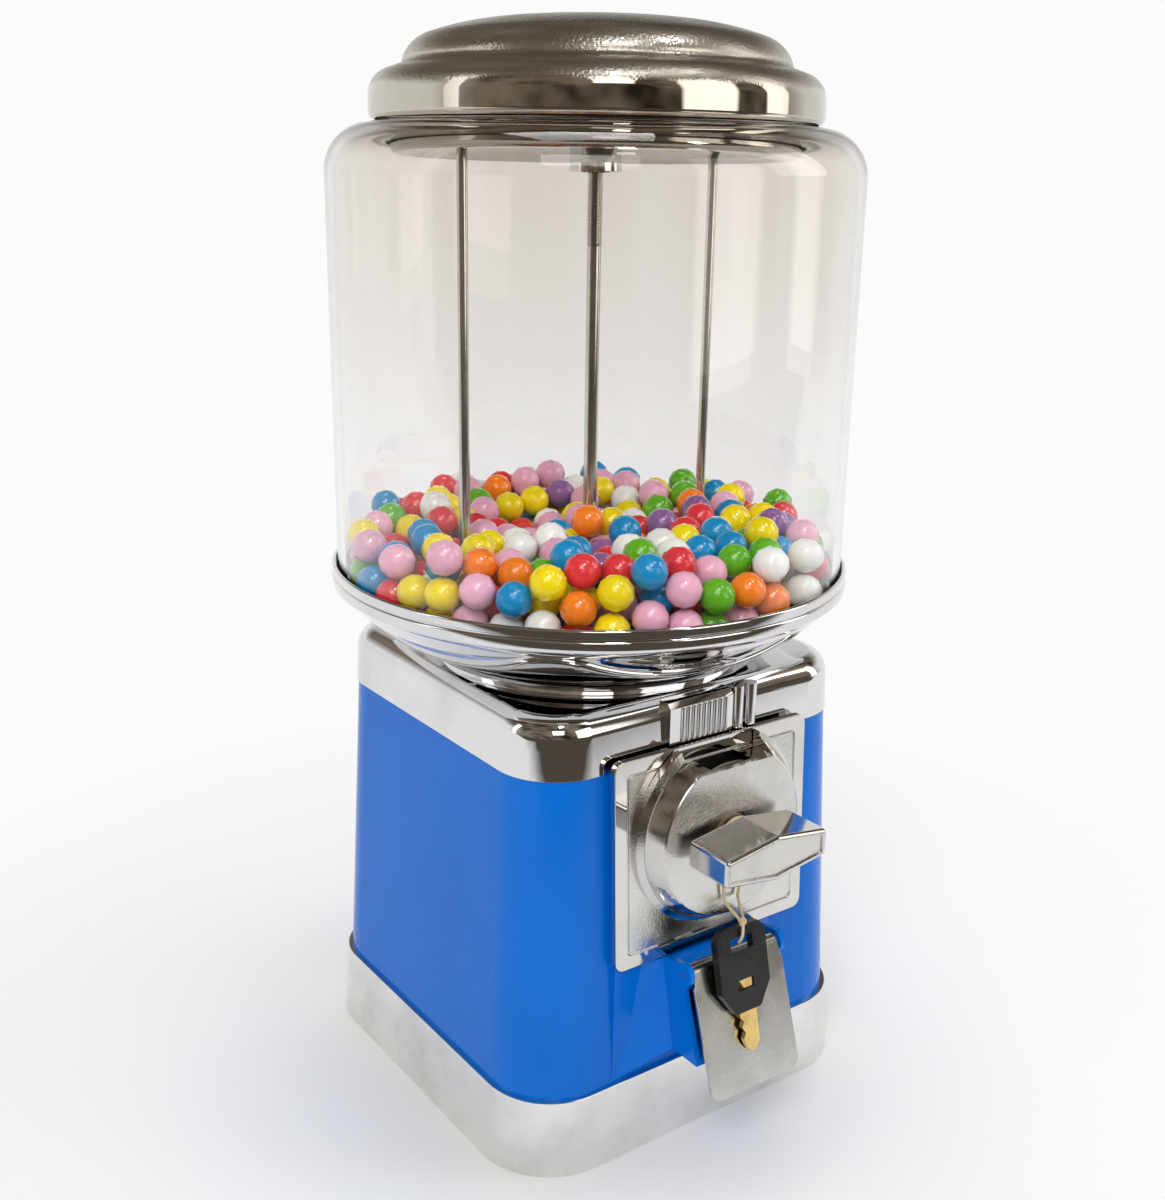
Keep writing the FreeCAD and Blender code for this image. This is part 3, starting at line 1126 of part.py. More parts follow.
def make_door():
    y, z = S.door_pin_y, S.door_pin_height
    node("door_pin",
         cylinder("door_pin_round", (-S.spout_half, -y, z), "x", S.door_pin_radius, S.spout_half * 2.0))
    half, corner, length = S.door_half, S.door_corner, S.door_length
    knuckle_half = S.spout_half - S.spout_wall - 0.4
    sheet = padded("door_sheet_pad", "xz", [
        (half, -(length - corner)), (half, -S.ear_radius - 1.2), (knuckle_half, -S.ear_radius - 0.2),
        (knuckle_half, 0.0), (-knuckle_half, 0.0), (-knuckle_half, -S.ear_radius - 0.2),
        (-half, -S.ear_radius - 1.2), (-half, -(length - corner), corner, True), (-(half - corner),
                                                                                  -length),
        (half - corner, -length, corner, True)], S.door_sheet, base=(0.0, 0.0, 0.0))
    out = S.door_knuckle_radius - S.door_sheet
    lean = math.radians(float(S.door_lean))
    put(sheet, (0.0, -(y + out * math.cos(lean)), z + out * math.sin(lean)), (1, 0, 0), -float(S.door_lean))
    knuckle = cylinder("door_knuckle", (-knuckle_half, -y, z), "x", S.door_knuckle_radius,
                       knuckle_half * 2.0)
    bore = cylinder("door_bore", (-S.spout_half, -y, z), "x", S.door_pin_radius + S.running_fit,
                    S.spout_half * 2.0)
    node("door", cut("door_cut", fuse("door_joined", [sheet, knuckle]), [bore]))


# Chute from the drop hole to the spout, and the brush over the wheel

def make_chute():
    half, sheet = float(S.chute_half), float(S.chute_sheet)
    x, y = DROP
    top, bend, low = float(HOUSING_FOOT), float(S.chute_bend_height), float(S.chute_mouth_height)
    end_y = -float(face_y(S.chute_mouth_height)) + 4.0
    inner = half - sheet
    tube = Part.makeBox(2 * half, 2 * half, top - bend + 2, Vector(x - half, y - half, bend - 2))
    bore = Part.makeBox(2 * inner, 2 * inner, top - bend + 2, Vector(x - inner, y - inner, bend))
    back = float(S.spout_half - S.spout_wall) - 0.6

    def ramp(under, over, sheet_in):
        """A sloping prism from under the drop tube to the spout, between two heights over its floor."""
        wires = []
        for yy, zz, left, right in ((y + half, bend, x - half, x + half), (end_y, low, -back, back)):
            ring = [Vector(left + sheet_in, yy, zz + under), Vector(right - sheet_in, yy, zz + under),
                    Vector(right - sheet_in, yy, zz + over), Vector(left + sheet_in, yy, zz + over)]
            wires.append(Part.makePolygon(ring + ring[:1]))
        return Part.makeLoft(wires, True, True)

    side = float(S.chute_side)
    outer = tube.fuse(ramp(-sheet, side, 0.0))
    behind = Part.makeBox(4 * half, sheet, 4 * side, Vector(x - 2 * half, y + inner, bend - 2 * side))
    node("chute", feature("chute_folded", outer.cut(bore.fuse(ramp(0.0, side + 1, sheet).cut(behind)))))


def make_brush():
    angle = float(S.drop_angle)
    foot = WHEEL_TOP + S.brush_gap
    outer = HOUSING_INNER - 0.3
    inner = S.pocket_circle - S.pocket_radius - 4.0
    cover = box("brush_block", (inner, -S.brush_half, foot),
                (outer - inner, S.brush_half * 2.0, S.brush_rise))
    hollow = box("brush_hollow", (inner + 1.6, -(S.brush_half - 1.6), foot - 1.0),
                 (outer - inner - 6.0, (S.brush_half - 1.6) * 2.0, S.brush_rise - 0.6))
    trim = cylinder("brush_trim", (0.0, 0.0, foot), "z", HOUSING_INNER - 0.02, S.brush_rise)
    housing = common("brush_kept", [cut("brush_shell", cover, [hollow]), trim])
    node("brush_cover", put(housing, (0.0, 0.0, 0.0), (0, 0, 1), angle))
    cos, sin = math.cos(math.radians(angle)), math.sin(math.radians(angle))
    reach, across = S.pocket_circle - S.pocket_radius, -S.brush_half + 1.6
    low = (reach * cos - across * sin, reach * sin + across * cos,
           foot + S.brush_rise - 1.6 - S.bristle_length)
    node("brush", box("brush_bar", low, (S.pocket_radius * 2.0, 2.0, S.bristle_length), (0, 0, 1), angle))


# Key on its band

def make_key():
    head_half = S.key_head_width / 2.0
    top = S.key_head_over
    foot = top - S.key_head_length
    neck = S.key_blade_width / 2.0 + 2.0
    base = (-S.key_pivot_x, -S.key_pivot_y, S.key_pivot_height)
    tilt = -float(S.key_tilt)

    def slab(name, points, thickness):
        piece = padded(name, "xz", points, thickness, middle=True)
        return put(piece, base, (1, 0, 0), tilt)

    head = slab("key_head_pad", [
        (neck, foot), (head_half, foot + 9.0), (head_half, top - 3.0), (head_half - 3.0, top),
        (-(head_half - 3.0), top), (-head_half, top - 3.0), (-head_half, foot + 9.0), (-neck, foot)],
        S.key_head_thickness)
    hole_half, hole_height = S.key_hole_half, S.key_hole_height / 2.0
    hole = slab("key_slot", [(hole_half, -hole_height), (hole_half, hole_height), (-hole_half, hole_height),
                             (-hole_half, -hole_height)], S.key_head_thickness * 2.0)
    blade_half = S.key_blade_width / 2.0
    tip = foot - S.key_blade_length
    window_half = blade_half - 0.2
    window_low = foot + S.key_window_low
    window_high = window_low + S.key_window_height
    window = slab("key_window", [(window_half, window_low), (window_half, window_high),
                                 (-window_half, window_high), (-window_half, window_low)],
                  S.key_head_thickness * 2.0)
    core = [(blade_half, foot - S.key_blade_length + 3.0), (blade_half, foot + S.key_tang),
            (-blade_half, foot + S.key_tang),
            (-blade_half, foot - 2.0), (-(blade_half - 1.6), foot - 4.0), (-(blade_half - 0.4), foot - 6.0),
            (-(blade_half - 2.0), foot - 8.4), (-(blade_half - 0.8),
                                                foot - 10.6), (-(blade_half - 1.8), tip + 2.4),
            (-0.6, tip), (blade_half - 2.0, tip)]
    socket = slab("key_socket", core, S.key_blade_thickness)
    node("key_head", cut("key_head_cut", head, [hole, socket, window]))
    node("key_blade", slab("key_blade_pad", core, S.key_blade_thickness))


def rounded_route(points):
    """Wire of straight runs joined by tangent arcs as large as the runs allow, and its arc radii."""
    edges, radii = [], []
    last = points[0]
    for before, here, after in zip(points, points[1:], points[2:]):
        back, ahead = before - here, after - here
        turn = math.pi - back.getAngle(ahead)
        reach = 0.45 * min(back.Length, ahead.Length)
        radii.append(reach / math.tan(turn / 2))
        start = here + Vector(back).normalize() * reach
        end = here + Vector(ahead).normalize() * reach
        bisector = (Vector(back).normalize() + Vector(ahead).normalize()).normalize()
        middle = here + bisector * (radii[-1] / math.cos(turn / 2) - radii[-1])
        edges.append(Part.LineSegment(last, start).toShape())
        edges.append(Part.Arc(start, middle, end).toShape())
        last = end
    edges.append(Part.LineSegment(last, points[-1]).toShape())
    return Part.Wire(edges), radii


def make_band():
    loop = float(S.hub_radius + S.band_gap + S.band_radius)
    strand = float(S.band_radius)
    y = -(float(S.drum_face_y) + float(S.handle_front_y - S.handle_depth)) / 2
    z = float(S.shaft_height)
    pivot = Vector(-float(S.key_pivot_x), -float(S.key_pivot_y), float(S.key_pivot_height))
    knot = pivot + Vector(0, -1.5, 9.5)
    bend_height = z - float(S.handle_half) - 2.0
    drop = bend_height - z
    tangent = []
    for x, side in ((2.4, 1), (-4.4, -1)):
        angle = math.atan2(drop, x) + side * math.acos(loop / math.hypot(x, drop))
        tangent.append(Vector(loop * math.cos(angle), y, z + loop * math.sin(angle)))
    over = Part.Arc(tangent[0], Vector(0, y, z + loop), tangent[1]).toShape()
    right, right_radii = rounded_route([knot + Vector(0.8, 0.6, 0.6), Vector(2.4, y, bend_height),
                                        tangent[0]])
    left, left_radii = rounded_route([tangent[1], Vector(-4.4, y, bend_height),
                                      knot + Vector(-0.8, 0.6, 0.6)])
    wire = Part.Wire(right.Edges + [over] + left.Edges)
    radii = right_radii + [loop] + left_radii
    start = right.Edges[0]
    print("band radii", [round(r, 2) for r in radii])
    profile = Part.Wire(Part.Circle(start.valueAt(0), start.tangentAt(0), strand).toShape())
    tube = wire.makePipeShell([profile], True, False)
    print("band volume", tube.Volume, "section times length", math.pi * strand ** 2 * wire.Length)
    hang, hang_radii = rounded_route([knot, pivot + Vector(0, -3.1, 3.4), pivot])
    print("hanging strand radii", [round(r, 2) for r in hang_radii])
    hang_profile = Part.Wire(Part.Circle(knot, pivot + Vector(0, -3.1, 3.4) - knot, strand).toShape())
    hang = hang.makePipeShell([hang_profile], True, False)
    ball = Part.makeSphere(float(S.knot_radius), knot)
    node("key_band", feature("key_band_tube", tube.fuse([ball, hang])))


# Gumballs, settled into the dish by gravity from a seeded start

COLOURS = [("pink", 20), ("red", 20), ("yellow", 16), ("blue", 14), ("white", 10), ("green", 10),
           ("orange", 6),
           ("purple", 4)]


def settle_pile():
    """Centres of the gumballs: a jittered lattice sinks, step by step, and overlaps push apart."""
    chance = random.Random(7)
    gap = float(S.ball_gap)
    radius = float(S.ball_radius)
    spacing = 2 * radius + gap
    cup = float(HOUSING_INNER) - radius - gap
    floor = float(WHEEL_TOP) + radius + gap
    cover_top = float(WHEEL_TOP + S.brush_gap + S.brush_rise) + radius + gap
    cover_from = float(S.pocket_circle - S.pocket_radius) - 4.0 - radius - gap
    cover_half = float(S.brush_half) + radius + gap
    cover_turn = math.radians(float(S.drop_angle))
    top = float(GLOBE_FOOT + S.pile_height) - radius
    tube = float(S.globe_radius - S.gasket_seat) - radius - gap
    foot = float(COLLAR_TOP)
    wall = float(S.dish_wall)
    neck = float(S.dish_neck_radius) + wall
    neck_z = foot + 2 * float(S.dish_neck_rise) + wall
    brim = float(S.globe_radius - S.gasket_seat)
    brim_z = float(GASKET_FOOT)
    side = float(S.globe_radius - S.gasket_seat)
    profile = [(float(HOUSING_INNER), 0.0), (float(HOUSING_INNER), foot + wall), (neck, neck_z),
               (brim - 2, brim_z - 3), (side, brim_z), (side, 2 * top)]
    walls = list(zip(profile, profile[1:]))
    need = radius + gap
    rods = [(0.0, 0.0, float(S.rod_radius)), (float(S.side_rod_place), 0.0, float(S.side_rod_radius)),
            (-float(S.side_rod_place), 0.0, float(S.side_rod_radius))]

    def hold(p):
        """Push a centre out of the walls, the floor and the rods."""
        along = p[0] * math.cos(cover_turn) + p[1] * math.sin(cover_turn)
        across = p[1] * math.cos(cover_turn) - p[0] * math.sin(cover_turn)
        over_cover = along > cover_from and abs(across) < cover_half
        p[2] = max(p[2], cover_top if over_cover else floor)
        r = math.hypot(p[0], p[1]) or 1e-9
        for (r0, z0), (r1, z1) in walls:
            run, rise = r1 - r0, z1 - z0
            length = math.hypot(run, rise)
            near = min(max(((r - r0) * run + (p[2] - z0) * rise) / length, 0.0), length)
            dr, dz = r - (r0 + run * near / length), p[2] - (z0 + rise * near / length)
            away = math.hypot(dr, dz) or 1e-9
            inside = run * dz - rise * dr > 0
            if inside and away < need:
                r += dr / away * (need - away)
                p[2] += dz / away * (need - away)
            elif not inside and 0.0 < near < length:
                r -= rise / length * (away + need)
                p[2] += run / length * (away + need)
        scale = max(r, 0.0) / (math.hypot(p[0], p[1]) or 1e-9)
        p[0] *= scale
        p[1] *= scale
        for x, y, thick in rods:
            dx, dy = p[0] - x, p[1] - y
            away = math.hypot(dx, dy) or 1e-9
            room = thick + need
            if away < room:
                p[0] = x + dx / away * room
                p[1] = y + dy / away * room

    balls = []
    step = spacing * 0.99
    lift = float(S.pile_lift)
    layers = int((top + lift - floor) / (step * 0.82)) + 1
    for layer in range(layers):
        z = floor + layer * step * 0.82
        reach = int(tube / step) + 2
        for i in range(-reach, reach + 1):
            for j in range(-reach, reach + 1):
                x = (i + 0.5 * (j % 2) + 0.33 * (layer % 2)) * step + chance.uniform(-0.9, 0.9)
                y = (j * 0.866 + 0.57 * (layer % 2)) * step + chance.uniform(-0.9, 0.9)
                r = math.hypot(x, y)
                if z < foot:
                    room = cup
                elif z < brim_z:
                    room = min(tube, neck + (brim - neck) * (z - neck_z) / (brim_z - neck_z) - 4.0)
                else:
                    room = tube
                if r <= room + 1.0 and z <= top + lift * (2.0 * (r / tube) ** 2 - 1.0):
                    balls.append([x, y, z + chance.uniform(-0.6, 0.6)])
    rounds = 150
    calm = 70
    for turn in range(rounds):
        sinking = 0.5 if turn < rounds - calm else 0.0
        cells = {}
        for index, p in enumerate(balls):
            p[2] -= sinking
            hold(p)
            cells.setdefault(tuple(int(v // spacing) for v in p), []).append(index)
        for cell, members in cells.items():
            near = [k for dx in (-1, 0, 1) for dy in (-1, 0, 1) for dz in (-1, 0, 1)
                    for k in cells.get((cell[0] + dx, cell[1] + dy, cell[2] + dz), ())]
            for a in members:
                p = balls[a]
                for b in near:
                    if b <= a:
                        continue
                    q = balls[b]
                    dx, dy, dz = q[0] - p[0], q[1] - p[1], q[2] - p[2]
                    away = dx * dx + dy * dy + dz * dz
                    if away < spacing * spacing:
                        away = math.sqrt(away) or 1e-9
                        push = (spacing - away) / away * 0.5
                        p[0] -= dx * push
                        p[1] -= dy * push
                        p[2] -= dz * push
                        q[0] += dx * push
                        q[1] += dy * push
                        q[2] += dz * push
    kept = []
    for p in sorted(balls, key=lambda c: c[2]):
        hold(p)
        held = list(p)
        hold(held)
        if math.dist(p, held) < 0.05 and all(math.dist(p, q) > 2 * radius + 0.1 for q in kept):
            kept.append(p)
    return kept


def make_gumballs():
    centres = settle_pile()
    least = min(math.dist(p, q) for i,
                p in enumerate(centres) for q in centres[:i]) - 2 * float(S.ball_radius)
    print("gumballs", len(centres), "least gap", round(least, 3), "top", max(c[2] for c in centres))
    chance = random.Random(11)
    names = [name for name, share in COLOURS]
    shares = [share for name, share in COLOURS]
    picked = {name: [] for name in names}
    for centre in centres:
        name = chance.choices(names, shares)[0]
        picked[name].append(Part.makeSphere(float(S.ball_radius), Vector(*centre)))
    for name in names:
        node("gumballs_" + name, feature("balls_" + name, Part.makeCompound(picked[name])))


make_foot()
make_bottom_plate()
make_body()
make_collar()
make_dish()
make_housing()
make_globe()
make_rods()
make_lid()
make_wheel()
make_pinion()
make_coin_plate()
make_drum()
make_carrier()
make_handle()
make_shaft()
make_mech_frame()
make_ratchet()
make_door()
make_chute()
make_brush()
make_key()
make_band()
make_gumballs()
DOC.recompute()

for obj in DOC.Objects:
    if "Invalid" in obj.State or "Error" in obj.State:
        raise RuntimeError("failed object: %s %s" % (obj.Name, obj.State))
for name, obj in NODES.items():
    if obj.Shape.isNull() or not obj.Shape.isValid() or not obj.Shape.Solids:
        raise RuntimeError("bad shape: " + name)

os.makedirs("parts", exist_ok=True)
for name, obj in NODES.items():
    obj.Shape.exportStep(os.path.join("parts", name + ".step"))
    print(name, len(obj.Shape.Solids), round(obj.Shape.Volume, 1))
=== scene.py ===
import math

import bmesh
import bpy
from mathutils import Matrix, Vector


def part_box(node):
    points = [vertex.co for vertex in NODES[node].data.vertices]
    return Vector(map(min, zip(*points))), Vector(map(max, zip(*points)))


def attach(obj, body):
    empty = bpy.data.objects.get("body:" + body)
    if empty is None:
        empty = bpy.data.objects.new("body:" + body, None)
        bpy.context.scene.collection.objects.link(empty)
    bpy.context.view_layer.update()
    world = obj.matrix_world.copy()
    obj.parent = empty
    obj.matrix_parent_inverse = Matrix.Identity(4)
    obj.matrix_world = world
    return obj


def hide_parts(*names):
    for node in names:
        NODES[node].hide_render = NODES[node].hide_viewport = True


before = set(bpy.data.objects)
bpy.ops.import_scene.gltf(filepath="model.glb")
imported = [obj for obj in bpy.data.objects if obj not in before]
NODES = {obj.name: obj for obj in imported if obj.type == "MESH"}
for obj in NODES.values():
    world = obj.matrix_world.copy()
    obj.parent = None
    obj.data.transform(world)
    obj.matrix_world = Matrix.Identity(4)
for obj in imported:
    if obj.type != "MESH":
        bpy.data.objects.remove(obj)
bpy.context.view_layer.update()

# Gumball machine, metres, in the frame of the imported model: +Z up, coin mechanism facing -Y.

MM = 0.001
MERGE_DISTANCE = 1e-6


def z_range(node):
    low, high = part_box(node)
    return low.z, high.z


def half_width(node):
    low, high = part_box(node)
    return (high.x - low.x) / 2


def new_object(name, data):
    """An object of the data, linked into the scene."""
    made = bpy.data.objects.new(name, data)
    bpy.context.scene.collection.objects.link(made)
    return made


# Camera at the photograph's viewing place

CAMERA_PLACE = Vector((-0.32728, -0.44804, 0.3651))
CAMERA_AIM = Vector((0.56033, 0.77625, -0.2889))
CAMERA_ROLL = math.radians(0.9)
CAMERA_SHIFT = (0.0016, -0.001)
CAMERA_NEAR = 0.01
IMAGE_HEIGHT = 1200
FOCAL_PIXELS = 1399.9
SENSOR = 36.0


def make_camera():
    data = bpy.data.cameras.new("photo_camera")
    data.sensor_fit = "VERTICAL"
    data.sensor_height = SENSOR
    data.lens = FOCAL_PIXELS / IMAGE_HEIGHT * SENSOR
    data.clip_start = CAMERA_NEAR
    data.shift_x, data.shift_y = CAMERA_SHIFT
    camera = new_object("photo_camera", data)
    aim = CAMERA_AIM.to_track_quat("-Z", "Y").to_matrix().to_4x4()
    roll = Matrix.Rotation(CAMERA_ROLL, 4, "Z")
    camera.matrix_world = Matrix.Translation(CAMERA_PLACE) @ aim @ roll
    bpy.context.scene.camera = camera


# Node trees

class Tree:
    """Short words for building a node tree. A colour is written as red, green and blue."""

    def __init__(self, tree):
        self.tree = tree

    def add(self, kind, settings=None, **inputs):
        node = self.tree.nodes.new(kind)
        for name, value in (settings or {}).items():
            setattr(node, name, value)
        self.give(node, **inputs)
        return node

    def give(self, node, **inputs):
        """Sets inputs by name, with underscores for spaces, or by place, as slot0, slot1 and so on."""
        for name, value in inputs.items():
            if name.startswith("slot"):
                socket = node.inputs[int(name.removeprefix("slot"))]
            else:
                socket = node.inputs[name.replace("_", " ")]
            if isinstance(value, bpy.types.NodeSocket):
                self.tree.links.new(value, socket)
            elif socket.type == "RGBA":
                socket.default_value = (*value, 1.0)
            else:
                socket.default_value = value

    def math(self, operation, first, second=0.0):
        node = self.add("ShaderNodeMath", {"operation": operation}, slot0=first, slot1=second)
        return node.outputs[0]

    def weigh(self, *pairs):
        """The sum of some values, each times its share."""
        total = 0.0
        for value, share in pairs:
            total = self.math("ADD", total, self.math("MULTIPLY", value, share))
        return total

    def dot(self, first, second):
        node = self.add("ShaderNodeVectorMath", {"operation": "DOT_PRODUCT"}, slot0=first, slot1=second)
        return node.outputs["Value"]

    def axis(self, place, name):
        return self.add("ShaderNodeSeparateXYZ", Vector=place).outputs[name]

    def ramp(self, value, low, high, start=0.0, end=1.0):
        node = self.add("ShaderNodeMapRange", {"clamp": True}, Value=value, From_Min=low, From_Max=high,
                        To_Min=start, To_Max=end)
        return node.outputs["Result"]

    def noise(self, place, scale, detail=3.0, roughness=0.5):
        node = self.add("ShaderNodeTexNoise", Vector=place, Scale=scale, Detail=detail, Roughness=roughness)
        return node.outputs["Fac"]

    def mix(self, factor, first, second):
        """A blend of two colours, which are the sockets 6 and 7 of the node."""
        node = self.add("ShaderNodeMix", {"data_type": "RGBA"}, slot0=factor, slot6=first, slot7=second)
        return node.outputs[2]

    def blend(self, factor, first, second):
        """A blend of two shaders."""
        node = self.add("ShaderNodeMixShader", slot0=factor, slot1=first, slot2=second)
        return node.outputs[0]


def start_group(name, inputs, outputs):
    tree = bpy.data.node_groups.new(name, "ShaderNodeTree")
    for label, kind, value in inputs:
        socket = tree.interface.new_socket(label, in_out="INPUT", socket_type=kind)
        if value is not None:
            socket.default_value = value
    for label, kind in outputs:
        tree.interface.new_socket(label, in_out="OUTPUT", socket_type=kind)
    build = Tree(tree)
    return build, build.add("NodeGroupInput").outputs, build.add("NodeGroupOutput")


FLOAT, VECTOR, GEOMETRY = "NodeSocketFloat", "NodeSocketVector", "NodeSocketGeometry"


def wipe_marks_group():
    """Cloudy wipe marks and fine scratches: a roughness that changes over the surface, and a tint mask."""
    build, given, out = start_group(
        "wipe_marks",
        [("Place", VECTOR, None), ("Cloud Scale", FLOAT, 30.0), ("Scratch Scale", FLOAT, 400.0),
         ("Clean Roughness", FLOAT, 0.05), ("Smeared Roughness", FLOAT, 0.2)],
        [("Roughness", FLOAT), ("Mask", FLOAT)])
    cloud = build.noise(given["Place"], given["Cloud Scale"], detail=6.0, roughness=0.6)
    mask = build.ramp(cloud, 0.42, 0.68)
    drawn_out = build.add("ShaderNodeMapping", Vector=given["Place"], Scale=(1.0, 1.0, 0.06),
                          Rotation=(0.5, 0.3, 0.2))
    scratch = build.noise(drawn_out.outputs[0], given["Scratch Scale"], detail=2.0)
    wear = build.weigh((mask, 0.8), (build.ramp(scratch, 0.6, 0.75), 0.2))
    span = build.math("SUBTRACT", given["Smeared Roughness"], given["Clean Roughness"])
    rough = build.math("ADD", given["Clean Roughness"], build.math("MULTIPLY", wear, span))
    build.give(out, Roughness=rough, Mask=mask)
    return build.tree


def cast_grain_group():
    """Height of a fine sand-cast skin."""
    build, given, out = start_group(
        "cast_grain", [("Place", VECTOR, None), ("Grain Scale", FLOAT, 900.0)], [("Height", FLOAT)])
    coarse_scale = build.math("MULTIPLY", given["Grain Scale"], 0.3)
    fine = build.noise(given["Place"], given["Grain Scale"], detail=4.0, roughness=0.65)
    coarse = build.noise(given["Place"], coarse_scale, detail=2.0)
    build.give(out, Height=build.weigh((fine, 0.7), (coarse, 0.3)))
    return build.tree


WIPE_MARKS = wipe_marks_group()
CAST_GRAIN = cast_grain_group()


# Materials

METAL_SCRATCH = 420.0
CAST_DEPTH = 0.4 * MM


def start_material(name):
    material = bpy.data.materials.new(name)
    material.use_nodes = True
    material.node_tree.nodes.clear()
    build = Tree(material.node_tree)
    surface = build.add("ShaderNodeBsdfPrincipled")
    out = build.add("ShaderNodeOutputMaterial")
    build.tree.links.new(surface.outputs[0], out.inputs[0])
    place = build.add("ShaderNodeTexCoord").outputs["Object"]
    return material, build, surface, place


def show_instead(build, shader):
    """Puts a shader at the material's output in place of the plain surface."""
    out = [node for node in build.tree.nodes if node.type == "OUTPUT_MATERIAL"][0]
    build.tree.links.new(shader, out.inputs[0])


def wiped(build, place, cloud, scratch, clean, smeared):
    group = build.add("ShaderNodeGroup", {"node_tree": WIPE_MARKS}, Place=place, Cloud_Scale=cloud,
                      Scratch_Scale=scratch, Clean_Roughness=clean, Smeared_Roughness=smeared)
    return group.outputs["Roughness"], group.outputs["Mask"]


def cast(build, place, scale):
    group = build.add("ShaderNodeGroup", {"node_tree": CAST_GRAIN}, Place=place, Grain_Scale=scale)
    return group.outputs["Height"]


def bumped(build, surface, height, strength, distance):
    bump = build.add("ShaderNodeBump", Height=height, Strength=strength, Distance=distance)
    build.give(surface, Normal=bump.outputs[0])


def metal(name, colour, dull, clean, smeared, cloud=28.0, grain=0.0, grain_scale=900.0, facing=None):
    """A metal with wipe marks, and a cast grain where asked for, all over or on faces that face one way."""
    material, build, surface, place = start_material(name)
    rough, mask = wiped(build, place, cloud, METAL_SCRATCH, clean, smeared)
    build.give(surface, Base_Color=build.mix(mask, colour, dull), Metallic=1.0, Roughness=rough)
    if grain:
        height = cast(build, place, grain_scale)
        if facing:
            normal = build.add("ShaderNodeTexCoord").outputs["Normal"]
            height = build.math("MULTIPLY", height, build.ramp(build.dot(normal, facing), 0.75, 0.95))
        bumped(build, surface, height, grain, CAST_DEPTH)
    return material


def enamel(name, colour, deep):
    """Smooth paint with a faint orange peel."""
    material, build, surface, place = start_material(name)
    rough, mask = wiped(build, place, cloud=14.0, scratch=300.0, clean=0.14, smeared=0.24)
    build.give(surface, Base_Color=build.mix(mask, colour, deep), Roughness=rough, Specular_IOR_Level=0.15,
               Coat_Weight=0.06, Coat_Roughness=0.06)
    peel = build.noise(place, 420.0, detail=2.0)
    bumped(build, surface, peel, strength=0.06, distance=0.2 * MM)
    return material


def plastic(name, colour, other, clean, smeared, grain):
    """Moulded plastic or rubber with a fine grain."""
    material, build, surface, place = start_material(name)
    rough, mask = wiped(build, place, cloud=60.0, scratch=500.0, clean=clean, smeared=smeared)
    build.give(surface, Base_Color=build.mix(mask, colour, other), Roughness=rough, Specular_IOR_Level=0.35)
    skin = build.noise(place, 1500.0, detail=2.0)
    bumped(build, surface, skin, strength=grain, distance=0.1 * MM)
    return material


def sugar(name, colour):
    """Sugar shell: each ball a little lighter or darker, with a faint mottle and a glossy coat."""
    material, build, surface, place = start_material(name)
    shade = build.add("ShaderNodeAttribute", {"attribute_name": "ball_shade"}).outputs["Fac"]
    mottle = build.noise(place, 260.0)
    light = [min(1.0, part * 1.1) for part in colour]
    dark = [part * 0.86 for part in colour]
    tint = build.mix(build.weigh((shade, 0.7), (mottle, 0.3)), dark, light)
    build.give(surface, Base_Color=tint, Roughness=build.ramp(mottle, 0.3, 0.7, 0.12, 0.2),
               Specular_IOR_Level=0.12, Coat_Weight=0.9, Coat_Roughness=0.15)
    shell = build.noise(place, 700.0, detail=2.0)
    bumped(build, surface, shell, strength=0.05, distance=0.2 * MM)
    return material


def clear_globe():
    """Clear moulded plastic, with a painted brown shade in long streaks towards the top, standing in for
    shade seen through the upper globe. Lamps shine through it.
    """
    material, build, surface, place = start_material("clear_globe")
    low, high = z_range("globe")
    # Painted shade: the brown tint that grows towards the top, in stretched streaks, stands in for shade
    # seen through the globe; the plastic itself is clear.
    rise = build.ramp(build.axis(place, "Z"), low + 30 * MM, high - 20 * MM)
    drawn_out = build.add("ShaderNodeMapping", Vector=place, Scale=(1.0, 1.0, 0.07))
    shade_streaks = build.noise(drawn_out.outputs[0], 70.0, detail=4.0)
    painted_shade = build.math("MULTIPLY", rise, build.ramp(shade_streaks, 0.25, 0.75, 0.6, 1.0))
    haze = build.ramp(build.noise(place, 22.0, detail=5.0), 0.55, 0.8, 0.0, 0.02)
    tint = build.mix(painted_shade, (0.96, 0.957, 0.955), (0.845, 0.81, 0.765))
    build.give(surface, Base_Color=tint, Roughness=haze, Transmission_Weight=1.0, IOR=1.4,
               Specular_IOR_Level=0.4)
    shadow = build.add("ShaderNodeLightPath").outputs["Is Shadow Ray"]
    passing = build.add("ShaderNodeBsdfTransparent", Color=(0.95, 0.95, 0.95))
    show_instead(build, build.blend(shadow, surface.outputs[0], passing.outputs[0]))
    return material


def plate_chrome():
    """The coin plate: a polished border round a sand-cast field."""
    material, build, surface, place = start_material("plate_chrome")
    low, high = z_range("coin_plate")
    border = 6.0 * MM
    side_fade = 0.2 * MM
    end_fade = 0.24 * MM
    side = half_width("coin_plate") - border
    across = build.math("ABSOLUTE", build.axis(place, "X"))
    height = build.axis(place, "Z")
    field = build.ramp(across, side, side - side_fade)
    for edge, inwards in ((low, 1), (high, -1)):
        start = edge + inwards * border
        field = build.math("MULTIPLY", field, build.ramp(height, start, start + inwards * end_fade))
    rough, mask = wiped(build, place, cloud=34.0, scratch=METAL_SCRATCH, clean=0.05, smeared=0.12)
    build.give(surface, Base_Color=build.mix(mask, (0.70, 0.69, 0.67), (0.61, 0.60, 0.58)), Metallic=1.0,
               Roughness=build.weigh((rough, 1.0), (field, 0.1)))
    grain = build.math("MULTIPLY", cast(build, place, 1000.0), field)
    bumped(build, surface, grain, strength=0.45, distance=CAST_DEPTH)
    return material


